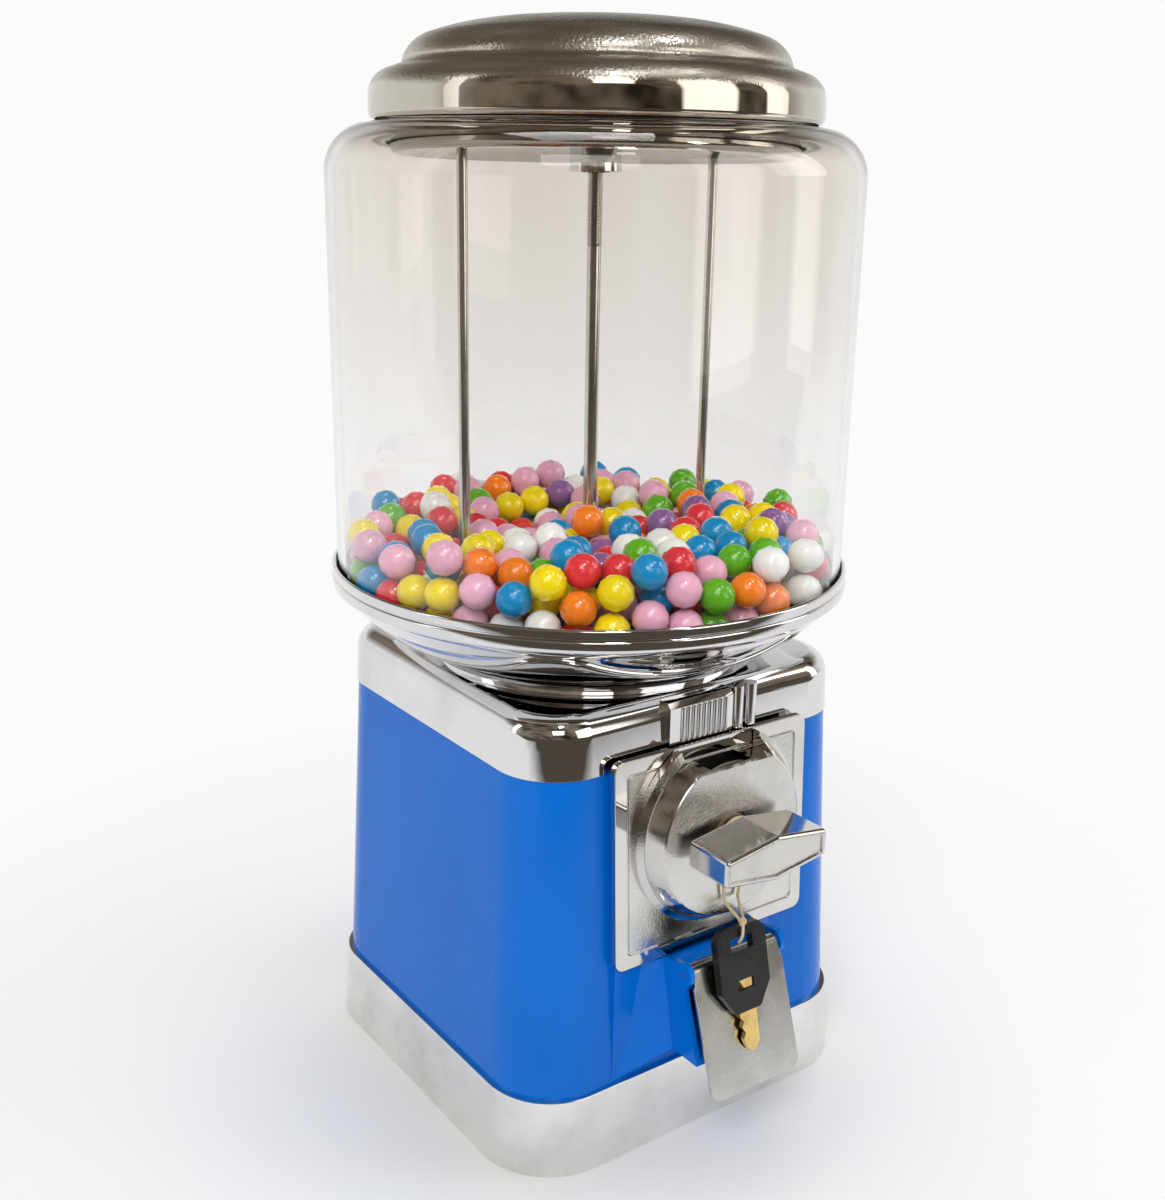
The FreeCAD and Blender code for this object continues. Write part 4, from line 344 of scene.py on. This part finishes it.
def lid_nickel():
    """Warm nickel, hammered on the dome and the shoulder, and mirror bright on the band below."""
    material, build, surface, place = start_material("lid_nickel")
    foot = z_range("lid")[0]
    mirror_roughness = 0.03
    hammered = build.ramp(build.axis(place, "Z"), foot + 10 * MM, foot + 12 * MM)
    rough, mask = wiped(build, place, cloud=30.0, scratch=400.0, clean=0.24, smeared=0.36)
    rough = build.math("ADD", build.math("MULTIPLY", rough, hammered), mirror_roughness)
    build.give(surface, Base_Color=build.mix(mask, (0.57, 0.535, 0.47), (0.50, 0.465, 0.40)), Metallic=1.0,
               Roughness=rough)
    dimples = build.add("ShaderNodeTexVoronoi", {"feature": "SMOOTH_F1"}, Vector=place, Scale=900.0,
                        Smoothness=0.6)
    relief = build.weigh((dimples.outputs["Distance"], 1.0), (build.noise(place, 1800.0), 0.5))
    bumped(build, surface, build.math("MULTIPLY", relief, hammered), strength=0.32, distance=0.3 * MM)
    return material


CHROME = metal("bright_chrome", (0.74, 0.74, 0.75), (0.66, 0.66, 0.66), clean=0.02, smeared=0.07)
FOOT_METAL = metal("polished_foot", (0.86, 0.85, 0.83), (0.70, 0.70, 0.69), clean=0.12, smeared=0.24,
                   cloud=34.0, grain=0.04, grain_scale=300.0)
CAST_CHROME = metal("cast_chrome", (0.66, 0.65, 0.63), (0.58, 0.57, 0.55), clean=0.08, smeared=0.2,
                    cloud=30.0, grain=0.45, grain_scale=1000.0, facing=(0, -1, 0))
DOOR_STEEL = metal("door_steel", (0.60, 0.60, 0.57), (0.48, 0.48, 0.46), clean=0.16, smeared=0.34,
                   cloud=60.0, grain=0.1, grain_scale=700.0)
ROD_STEEL = metal("rod_steel", (0.66, 0.65, 0.62), (0.58, 0.57, 0.54), clean=0.12, smeared=0.2, cloud=60.0)
SHEET_STEEL = metal("plated_sheet", (0.58, 0.58, 0.57), (0.45, 0.45, 0.44), clean=0.2, smeared=0.4,
                    cloud=40.0)
GREY_CASTING = metal("grey_casting", (0.5, 0.5, 0.49), (0.4, 0.4, 0.4), clean=0.3, smeared=0.5, cloud=50.0,
                     grain=0.4, grain_scale=700.0)
BRASS = metal("key_brass", (0.80, 0.58, 0.22), (0.62, 0.43, 0.16), clean=0.14, smeared=0.3, cloud=120.0)
TRAY_STEEL = metal("tray_steel", (0.40, 0.38, 0.34), (0.32, 0.30, 0.27), clean=0.06, smeared=0.12)
LID_NICKEL = lid_nickel()
PLATE_CHROME = plate_chrome()
BLUE_ENAMEL = enamel("blue_enamel", (0.0, 0.155, 0.66), (0.0, 0.14, 0.60))
BLACK_PLASTIC = plastic("black_plastic", (0.008, 0.008, 0.008), (0.016, 0.016, 0.016), clean=0.2,
                        smeared=0.34, grain=0.2)
WHITE_PLASTIC = plastic("white_plastic", (0.8, 0.8, 0.77), (0.7, 0.7, 0.67), clean=0.3, smeared=0.45,
                        grain=0.1)
BLACK_RUBBER = plastic("black_rubber", (0.02, 0.02, 0.02), (0.05, 0.05, 0.05), clean=0.5, smeared=0.7,
                       grain=0.3)
TAN_RUBBER = plastic("tan_rubber", (0.70, 0.55, 0.36), (0.58, 0.43, 0.26), clean=0.45, smeared=0.6,
                     grain=0.3)
CLEAR_GLOBE = clear_globe()
SUGAR = {
    "pink": (0.80, 0.40, 0.54),
    "red": (0.70, 0.03, 0.04),
    "yellow": (0.90, 0.70, 0.0),
    "blue": (0.0, 0.26, 0.56),
    "white": (0.86, 0.85, 0.82),
    "green": (0.11, 0.42, 0.01),
    "orange": (0.90, 0.21, 0.008),
    "purple": (0.26, 0.11, 0.31)}

FINISH = {
    CHROME: ["collar", "dish", "lid_sleeve", "lock_body", "door_pin"],
    TRAY_STEEL: ["lid_tray"],
    FOOT_METAL: ["foot"],
    BLUE_ENAMEL: ["body_shell"],
    LID_NICKEL: ["lid"],
    PLATE_CHROME: ["coin_plate"],
    CAST_CHROME: ["coin_drum", "handle"],
    DOOR_STEEL: ["door"],
    ROD_STEEL: ["centre_rod", "side_rods", "shaft", "pawl_pin"],
    SHEET_STEEL: ["bottom_plate", "base_screws", "rod_nut", "side_rod_nuts", "housing_screws", "shaft_nut",
                  "mech_frame", "mech_standoffs", "chute"],
    GREY_CASTING: ["wheel_housing", "coin_carrier", "ratchet", "pawl", "pinion"],
    BRASS: ["lock_plug", "shaft_bush", "key_blade"],
    CLEAR_GLOBE: ["globe"],
    BLACK_RUBBER: ["globe_gasket", "lid_gasket", "brush"],
    WHITE_PLASTIC: ["dispensing_wheel", "brush_cover"],
    BLACK_PLASTIC: ["key_head"],
    TAN_RUBBER: ["key_band"]}


def finish_nodes():
    for material, names in FINISH.items():
        for name in names:
            slots = NODES[name].data.materials
            slots.clear()
            slots.append(material)


# Making pieces

def add_piece(name, mesh, material, body, replaced):
    mesh.materials.clear()
    mesh.materials.append(material)
    piece = new_object(name, mesh)
    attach(piece, body)
    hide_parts(*replaced)
    return piece


def evaluated_mesh(maker):
    """The plain mesh that an object's modifiers make. The object is then removed."""
    evaluated = maker.evaluated_get(bpy.context.evaluated_depsgraph_get())
    mesh = bpy.data.meshes.new_from_object(evaluated)
    bpy.data.objects.remove(maker)
    return mesh


def smooth_by_angle(mesh, degrees):
    mesh.shade_smooth()
    work = bmesh.new()
    work.from_mesh(mesh)
    limit = math.radians(degrees)
    for edge in work.edges:
        edge.smooth = len(edge.link_faces) != 2 or edge.calc_face_angle() < limit
    work.to_mesh(mesh)
    work.free()


def arc(start, end, radius, left, steps=14):
    """Points of the short arc from start to end, without its end, whose centre is on the left or right."""
    start, end = Vector(start), Vector(end)
    run = end - start
    rise = math.sqrt(max(radius * radius - run.length_squared / 4, 0.0))
    across = Vector((-run.y, run.x)).normalized() * (1 if left else -1)
    centre = (start + end) / 2 + across * rise
    first, last = start - centre, end - centre
    turn = first.angle_signed(last)
    return [centre + Matrix.Rotation(-turn * k / steps, 2) @ first for k in range(steps)]


def profile(points):
    """A closed outline in metres from millimetre points, (r, z) or (r, z, arc radius, left)."""
    line = []
    for i, point in enumerate(points):
        after = points[(i + 1) % len(points)]
        if len(point) == 2:
            line.append(Vector(point))
        else:
            line += arc(point[:2], after[:2], point[2], point[3])
    return [p * MM for p in line]


LATHE_MERGE = 1e-7
LATHE_SMOOTH = 40


def lathe(name, line, turns):
    """A mesh spun about Z from a closed outline of radius and height in metres."""
    work = bmesh.new()
    rings = []
    for k in range(turns):
        angle = 2 * math.pi * k / turns
        rings.append([work.verts.new((p.x * math.cos(angle), p.x * math.sin(angle), p.y)) for p in line])
    for k in range(turns):
        near, far = rings[k], rings[(k + 1) % turns]
        for i in range(len(line)):
            j = (i + 1) % len(line)
            work.faces.new((near[i], far[i], far[j], near[j]))
    bmesh.ops.remove_doubles(work, verts=work.verts, dist=LATHE_MERGE)
    bmesh.ops.recalc_face_normals(work, faces=work.faces)
    mesh = bpy.data.meshes.new(name)
    work.to_mesh(mesh)
    work.free()
    smooth_by_angle(mesh, LATHE_SMOOTH)
    return mesh


# Gumballs: one ball shape set on the centre of each CAD ball

BALLS = bpy.data.collections.new("balls")
BALL_DETAIL = 2
SHADE_SEED = 5
TURN_SEED = 9
FULL_TURN = 6.28


def ball_centres(node):
    """Centre of each separate ball in a node's mesh, and the balls' radius."""
    work = bmesh.new()
    work.from_mesh(NODES[node].data)
    bmesh.ops.remove_doubles(work, verts=work.verts, dist=MERGE_DISTANCE)
    work.verts.ensure_lookup_table()
    seen = set()
    centres = []
    for vert in work.verts:
        if vert.index in seen:
            continue
        seen.add(vert.index)
        island, queue = [], [vert]
        while queue:
            here = queue.pop()
            island.append(here.co.copy())
            for edge in here.link_edges:
                other = edge.other_vert(here)
                if other.index not in seen:
                    seen.add(other.index)
                    queue.append(other)
        low = Vector([min(c[i] for c in island) for i in range(3)])
        high = Vector([max(c[i] for c in island) for i in range(3)])
        centres.append((low + high) / 2)
    work.free()
    return centres, (high.z - low.z) / 2


def ball_tree(material):
    """Instances of a ball on points, each with its own shade and turn."""
    tree = bpy.data.node_groups.new("gumball_pile_" + material.name, "GeometryNodeTree")
    tree.interface.new_socket("Geometry", in_out="INPUT", socket_type=GEOMETRY)
    size = tree.interface.new_socket("Ball Radius", in_out="INPUT", socket_type=FLOAT)
    tree.interface.new_socket("Geometry", in_out="OUTPUT", socket_type=GEOMETRY)
    build = Tree(tree)
    given = build.add("NodeGroupInput").outputs
    ball = build.add("GeometryNodeMeshIcoSphere", Radius=given["Ball Radius"], Subdivisions=BALL_DETAIL)
    soft = build.add("GeometryNodeSetShadeSmooth", Geometry=ball.outputs["Mesh"])
    shade = build.add("FunctionNodeRandomValue", {"data_type": "FLOAT"}, Seed=SHADE_SEED)
    turn = build.add("FunctionNodeRandomValue", {"data_type": "FLOAT_VECTOR"}, Seed=TURN_SEED)
    build.give(turn, slot1=(FULL_TURN, FULL_TURN, FULL_TURN))
    put = build.add("GeometryNodeInstanceOnPoints", Points=given["Geometry"],
                    Instance=soft.outputs["Geometry"], Rotation=turn.outputs[0])
    mark = build.add("GeometryNodeStoreNamedAttribute", {"data_type": "FLOAT", "domain": "INSTANCE"},
                     Geometry=put.outputs["Instances"], Name="ball_shade")
    value = [socket for socket in mark.inputs if socket.name == "Value" and socket.enabled][0]
    tree.links.new(shade.outputs[1], value)
    real = build.add("GeometryNodeRealizeInstances", Geometry=mark.outputs["Geometry"])
    dressed = build.add("GeometryNodeSetMaterial", Geometry=real.outputs["Geometry"], Material=material)
    build.add("NodeGroupOutput", Geometry=dressed.outputs["Geometry"])
    return tree, size.identifier


def make_gumballs():
    for name, colour in SUGAR.items():
        node = "gumballs_" + name
        material = sugar("sugar_" + name, colour)
        centres, radius = ball_centres(node)
        points = bpy.data.meshes.new(node + "_points")
        points.from_pydata(centres, [], [])
        maker = new_object(node + "_maker", points)
        modifier = maker.modifiers.new("pile", "NODES")
        modifier.node_group, identifier = ball_tree(material)
        modifier[identifier] = radius
        mesh = evaluated_mesh(maker)
        BALLS.objects.link(add_piece(node + "_pile", mesh, material, "machine", [node]))


# Band that the key hangs on

KEY_SLOT = Vector((-1.9, -103.0, 88.5)) * MM
KNOT = KEY_SLOT + Vector((0, -1.5, 9.5)) * MM
STEM = Vector((0, -96.5, 129.8)) * MM
BAND_LOOP = 7.05 * MM
BAND_BEND = 103.3 * MM
BAND_RADIUS = 0.6 * MM
# The spline passes the stem's axis at this share of its control points' distance.
SPLINE_SHARE = 0.941
KNOT_COIL = 1.05 * MM
KNOT_SWELL = 0.45 * MM
KNOT_DEPTH = 0.55 * MM
KNOT_POINTS = 15


def strand(name, points, closed=False):
    """A round strand along a smooth spline."""
    data = bpy.data.curves.new(name, "CURVE")
    data.dimensions = "3D"
    data.bevel_depth = BAND_RADIUS
    data.bevel_resolution = 4
    data.resolution_u = 10
    data.use_fill_caps = True
    spline = data.splines.new("NURBS")
    spline.points.add(len(points) - 1)
    for point, place in zip(spline.points, points):
        point.co = (*place, 1.0)
    spline.order_u = 3
    spline.use_endpoint_u = not closed
    spline.use_cyclic_u = closed
    data.materials.append(TAN_RUBBER)
    piece = new_object(name, data)
    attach(piece, "machine")
    return piece


def make_band():
    """The loop over the handle's stem, its knot, and the strand that goes into the key's slot."""
    start = KNOT + Vector((0.8, 0.6, 0.6)) * MM
    end = KNOT + Vector((-0.8, 0.6, 0.6)) * MM
    over_stem = []
    for degrees in (-10, 30, 70, 110, 150, 190):
        angle = math.radians(degrees)
        over_stem.append(STEM + Vector((math.cos(angle), 0, math.sin(angle))) * BAND_LOOP / SPLINE_SHARE)
    hold = Vector((0, 0, 1.2)) * MM
    right = Vector((2.4 * MM, STEM.y, BAND_BEND))
    left = Vector((-4.4 * MM, STEM.y, BAND_BEND))
    loop = strand("key_band_loop", [start, right, right + hold] + over_stem + [left + hold, left, end])
    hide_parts("key_band")
    hanging = strand("key_band_hanging", [KNOT, KEY_SLOT + Vector((0, -3.1, 3.4)) * MM, KEY_SLOT])
    coils = []
    for k in range(KNOT_POINTS):
        angle = 2 * math.pi * k / KNOT_POINTS
        reach = KNOT_COIL + KNOT_SWELL * math.cos(3 * angle)
        depth = KNOT_DEPTH * math.sin(3 * angle)
        coils.append(KNOT + Vector((reach * math.cos(2 * angle), depth, reach * math.sin(2 * angle))))
    knot = strand("key_band_knot", coils, True)


# Turned pieces, in millimetres

def make_globe():
    """A tube with a round shoulder and a short neck."""
    low, high = [z / MM for z in z_range("globe")]
    gasket_edge, neck_step, wall = 0.6, 19.5, 3.0
    shoulder_drop, neck_height, shoulder = 21.8, 2.3, 17.5
    chamfer, foot_chamfer, fillet = 0.4, 0.5, 1.0
    outer = half_width("globe_gasket") / MM - gasket_edge
    inner, neck = outer - wall, outer - neck_step
    bore, level, flat = neck - wall, high - shoulder_drop, high - neck_height
    ceiling, bend = flat - wall, neck + 2.0
    mesh = lathe("globe_clear", profile([
        (inner, low + chamfer), (inner + chamfer, low), (outer - foot_chamfer, low),
        (outer, low + foot_chamfer), (outer, level, shoulder, True), (bend, flat - 2.0),
        (neck + 0.6, flat - 1.6, fillet, False), (neck, flat - 0.6), (neck, high - chamfer),
        (neck - chamfer, high), (bore + chamfer, high), (bore, high - chamfer),
        (bore, ceiling - 1.5, fillet, True), (bore + 0.9, ceiling - 2.4),
        (bend, ceiling - 2.5, shoulder - wall, False), (inner, level)]), turns=200)
    add_piece("globe_clear", mesh, CLEAR_GLOBE, "machine", ["globe"])


def make_lid():
    """A rolled rim, a round shoulder, a step and a shallow dome with a hole for the lock."""
    foot = z_range("lid")[0] / MM
    rim = half_width("lid") / MM
    wall, bore, chamfer, flat, roll = 2.2, 9.45, 0.4, 24.0, 2.6
    band, dome_radius, dome_inside = 8.0, 100.0, 98.0
    step, dome, top = rim - 12.9, foot + 20.0, foot + 34.8
    inner, step_inside = rim - wall, step - wall
    seat, seat_low, seat_high = rim - 11.4, foot + 4.6, foot + 6.6
    shoulder, shoulder_top = rim - 5.9, foot + 17.0
    turn, turn_top = step - 7.5, dome + 9.2
    mesh = lathe("lid_spun", profile([
        (inner, foot), (rim - 1.3, foot, roll, True), (rim, foot + 2.2), (rim, foot + band, 10.0, True),
        (shoulder, shoulder_top), (step + 2.4, dome - 1.4, roll, False), (step, dome + 1.2, 14.0, True),
        (turn, turn_top, dome_radius, True), (flat, top), (bore + chamfer, top), (bore, top - chamfer),
        (bore, top - wall), (flat, top - wall, dome_inside, False), (turn - 1.1, turn_top - 1.9),
        (step_inside, dome), (step_inside, dome - 1.0 - wall), (shoulder - 1.3, shoulder_top - 2.0),
        (inner, seat_high), (seat, seat_high), (seat, seat_low), (inner, seat_low)]), turns=220)
    add_piece("lid_spun", mesh, LID_NICKEL, "lid", ["lid"])


def make_dish():
    """A beaded foot, a round bowl and the grooved ring that holds the globe."""
    foot, top = [z / MM for z in z_range("dish")]
    ring = half_width("dish") / MM
    hole, base, bead, waist, roll = 52.0, 68.5, 0.8, 66.0, 2.4
    bowl_outside, bowl_inside = 60.0, 56.8
    bowl, ledge = top - 9.5, top - 6.0
    groove, crest, lip = ring - 0.7, ring - 0.2, ring - 1.6
    mesh = lathe("dish_spun", profile([
        (hole, foot), (base - bead, foot, bead, True), (base, foot + bead), (waist, foot + 4.0, 5.0, False),
        (waist + 1.0, foot + 8.0, bowl_outside, True), (ring - 3.0, bowl - 0.3),
        (ring - roll, bowl, roll, True), (ring, bowl + roll),
        (ring, top - 5.0, 1.2, True), (groove, top - 4.1), (groove, top - 3.7),
        (crest, top - 3.3), (crest, top - 1.0, 1.0, True), (ring - 1.0, top - 0.1), (lip, top - 0.3),
        (lip, ledge), (ring - 5.9, ledge), (ring - 7.9, ledge - 3.0, bowl_inside, False),
        (base + 0.7, foot + 11.2), (hole, foot + 3.2)]), turns=220)
    add_piece("dish_spun", mesh, CHROME, "machine", ["dish"])


# Pieces with softened edges: the node, its body, its slot and the width of the rounding in millimetres

SOFT = (
    ("foot", "machine", "polished_aluminium", 0.8),
    ("collar", "machine", "chrome", 0.5),
    ("coin_plate", "machine", "cast_chrome", 0.5),
    ("coin_drum", "machine", "cast_chrome", 0.35),
    ("handle", "knob", "cast_chrome", 0.3),
    ("key_head", "key", "black_plastic", 0.5),
    ("door", "door", "satin_steel", 0.25))
FLAT_ANGLE = math.radians(0.5)
SHARP_ANGLE = math.radians(30)
SOFT_SMOOTH = 38


def even_normals(mesh):
    """The mesh with normals weighted by face area, so that flat faces stay flat beside rounded edges."""
    maker = new_object(mesh.name + "_maker", mesh)
    modifier = maker.modifiers.new("weighted", "WEIGHTED_NORMAL")
    modifier.mode = "FACE_AREA"
    modifier.weight = 100
    modifier.keep_sharp = True
    return evaluated_mesh(maker)


def softened(node, body, slot, width):
    """The node's shape with its sharp edges rounded over."""
    mesh = NODES[node].data.copy()
    work = bmesh.new()
    work.from_mesh(mesh)
    bmesh.ops.remove_doubles(work, verts=work.verts, dist=MERGE_DISTANCE)
    bmesh.ops.dissolve_limit(work, angle_limit=FLAT_ANGLE, verts=work.verts, edges=work.edges)
    sharp = [e for e in work.edges if len(e.link_faces) == 2 and e.calc_face_angle() > SHARP_ANGLE]
    bmesh.ops.bevel(work, geom=sharp, offset=width * MM, segments=2, profile=0.5, affect="EDGES",
                    clamp_overlap=True)
    bmesh.ops.recalc_face_normals(work, faces=work.faces)
    work.to_mesh(mesh)
    work.free()
    smooth_by_angle(mesh, SOFT_SMOOTH)
    add_piece(node + "_soft", even_normals(mesh), NODES[node].data.materials[0], body, [node])


# Room

# A window is its azimuth, height, half width and half depth in degrees, and its strength.

ROOM_SIDE = (-0.3, -0.95, 0.0)
UP = (0.0, 0.0, 1.0)
WINDOWS = ((-70, 9, 16, 26, 2.0), (-28, 14, 9, 30, 2.0), (160, 10, 5, 30, 2.0), (-118, 30, 10, 12, 2.5))
WINDOW_FADE = 0.85
WINDOW_COLOUR = (1.0, 0.97, 0.92)
BACKGROUND = (0.965, 0.965, 0.965)
PLAIN_WALL = (0.93, 0.93, 0.93)
DARK_BROWN = (0.03, 0.024, 0.019)
PALE_BROWN = (0.27, 0.22, 0.17)
SOFT_LIGHT = 0.54


def seen_rays(build):
    """One for rays that see the background straight or through glass, and one for those metal mirrors."""
    rays = build.add("ShaderNodeLightPath").outputs
    plain = build.math("LESS_THAN", rays["Diffuse Depth"], 0.5)
    mirrored = build.math("MULTIPLY", plain, build.math("GREATER_THAN", rays["Glossy Depth"], 0.5))
    straight = build.math("MAXIMUM", rays["Is Camera Ray"], rays["Is Transmission Ray"])
    straight = build.math("MULTIPLY", straight, build.math("SUBTRACT", plain, mirrored))
    return straight, mirrored


def window(build, way, azimuth, elevation, wide, tall):
    """A soft-edged rectangle of the sky in degrees, one inside it."""
    turn, lift = math.radians(azimuth), math.radians(elevation)
    centre = Vector((math.cos(turn) * math.cos(lift), math.sin(turn) * math.cos(lift), math.sin(lift)))
    across = Vector((-math.sin(turn), math.cos(turn), 0))
    ahead = build.dot(way, centre)
    mask = build.math("GREATER_THAN", ahead, 0.0)
    for axis, span in ((across, wide), (centre.cross(across), tall)):
        offset = build.math("ABSOLUTE", build.math("DIVIDE", build.dot(way, axis), ahead))
        edge = math.tan(math.radians(span))
        mask = build.math("MULTIPLY", mask, build.ramp(offset, edge, edge * WINDOW_FADE))
    return mask


def make_world():
    """Soft even light, a white background, and a dim room with windows for the bright metal to mirror."""
    world = bpy.data.worlds.new("studio")
    bpy.context.scene.world = world
    world.use_nodes = True
    world.node_tree.nodes.clear()
    build = Tree(world.node_tree)
    way = build.add("ShaderNodeTexCoord").outputs["Generated"]
    front = build.ramp(build.dot(way, ROOM_SIDE), -0.25, 0.2)
    front = build.math("MAXIMUM", front, build.ramp(build.dot(way, UP), 0.25, 0.5))
    bright = 0.0
    for *place, strength in WINDOWS:
        bright = build.math("MAXIMUM", bright, build.math("MULTIPLY", window(build, way, *place), strength))
    glow = build.add("ShaderNodeVectorMath", {"operation": "SCALE"}, slot0=WINDOW_COLOUR, Scale=bright)
    cloud = build.ramp(build.noise(way, 2.5, detail=2.0), 0.35, 0.65)
    room = build.add("ShaderNodeVectorMath", {"operation": "ADD"},
                     slot0=build.mix(cloud, DARK_BROWN, PALE_BROWN), slot1=glow.outputs[0])
    mirrored = build.mix(front, PLAIN_WALL, room.outputs[0])
    straight, glossy = seen_rays(build)
    soft = build.add("ShaderNodeBackground", Color=(1.0, 1.0, 1.0), Strength=SOFT_LIGHT)
    dim = build.add("ShaderNodeBackground", Color=mirrored, Strength=1.0)
    white = build.add("ShaderNodeBackground", Color=BACKGROUND, Strength=1.0)
    lit = build.blend(glossy, soft.outputs[0], dim.outputs[0])
    build.add("ShaderNodeOutputWorld", Surface=build.blend(straight, lit, white.outputs[0]))


FLOOR_REACH = 3.0
FLOOR_COLOURS = ((0.91, 0.905, 0.89), (0.93, 0.925, 0.91))
FLOOR_MIRRORED = (0.09, 0.075, 0.06)


def make_floor():
    """A pale floor that keeps the shadow and fades into the white background, in mirrors into the room."""
    mesh = bpy.data.meshes.new("floor")
    corners = [(x * FLOOR_REACH, y * FLOOR_REACH, 0) for x, y in ((-1, -1), (1, -1), (1, 1), (-1, 1))]
    mesh.from_pydata(corners, [], [(0, 1, 2, 3)])
    floor = new_object("floor", mesh)
    material, build, surface, place = start_material("pale_floor")
    build.give(surface, Base_Color=build.mix(build.noise(place, 3.0), *FLOOR_COLOURS), Roughness=0.6)
    away = build.add("ShaderNodeVectorMath", {"operation": "LENGTH"}, slot0=place).outputs["Value"]
    straight, glossy = seen_rays(build)
    side = build.ramp(build.dot(place, ROOM_SIDE), 0.33, 0.5)
    far = build.mix(build.math("MULTIPLY", glossy, side), BACKGROUND, FLOOR_MIRRORED)
    fade = build.math("MULTIPLY", build.math("MAXIMUM", straight, glossy), build.ramp(away, 0.13, 0.4))
    white = build.add("ShaderNodeEmission", Color=far, Strength=1.0)
    show_instead(build, build.blend(fade, surface.outputs[0], white.outputs[0]))
    mesh.materials.append(material)


# Lamps: the name, place, size and power, and what it lights

LEFT_LAMP = (-0.306, -0.841, 1.55)
RIGHT_LAMP = (0.376, -0.65, 1.63)
LAMPS = (
    ("key_light", (-0.9, -0.9, 1.3), 0.7, 10.5, "colour"),
    ("fill_light", (1.1, -0.7, 0.9), 0.8, 5.2, "colour"),
    ("top_light", (0.1, 0.2, 1.6), 0.6, 6.0, "colour"),
    ("left_glint", LEFT_LAMP, 0.16, 2.2, "glint"),
    ("right_glint", RIGHT_LAMP, 0.13, 1.6, "glint"),
    ("left_ball", LEFT_LAMP, 0.3, 12.0, "ball"),
    ("right_ball", RIGHT_LAMP, 0.24, 7.5, "ball"))
LAMP_AIM = Vector((0, 0, 0.2))


def make_lamps():
    """Lamps for the colours, and small ones that only make highlights, two of them on the balls alone."""
    for name, place, size, power, use in LAMPS:
        data = bpy.data.lights.new(name, "AREA")
        data.size = size
        data.energy = power
        lamp = new_object(name, data)
        lamp.location = place
        lamp.rotation_euler = (LAMP_AIM - Vector(place)).to_track_quat("-Z", "Y").to_euler()
        lamp.visible_glossy = use != "colour"
        lamp.visible_diffuse = use == "colour"
        if use == "ball":
            lamp.light_linking.receiver_collection = BALLS


make_camera()
finish_nodes()
make_globe()
make_lid()
make_dish()
for soft_piece in SOFT:
    softened(*soft_piece)
make_gumballs()
make_band()
make_world()
make_floor()
make_lamps()
bpy.context.scene.view_settings.view_transform = "Standard"
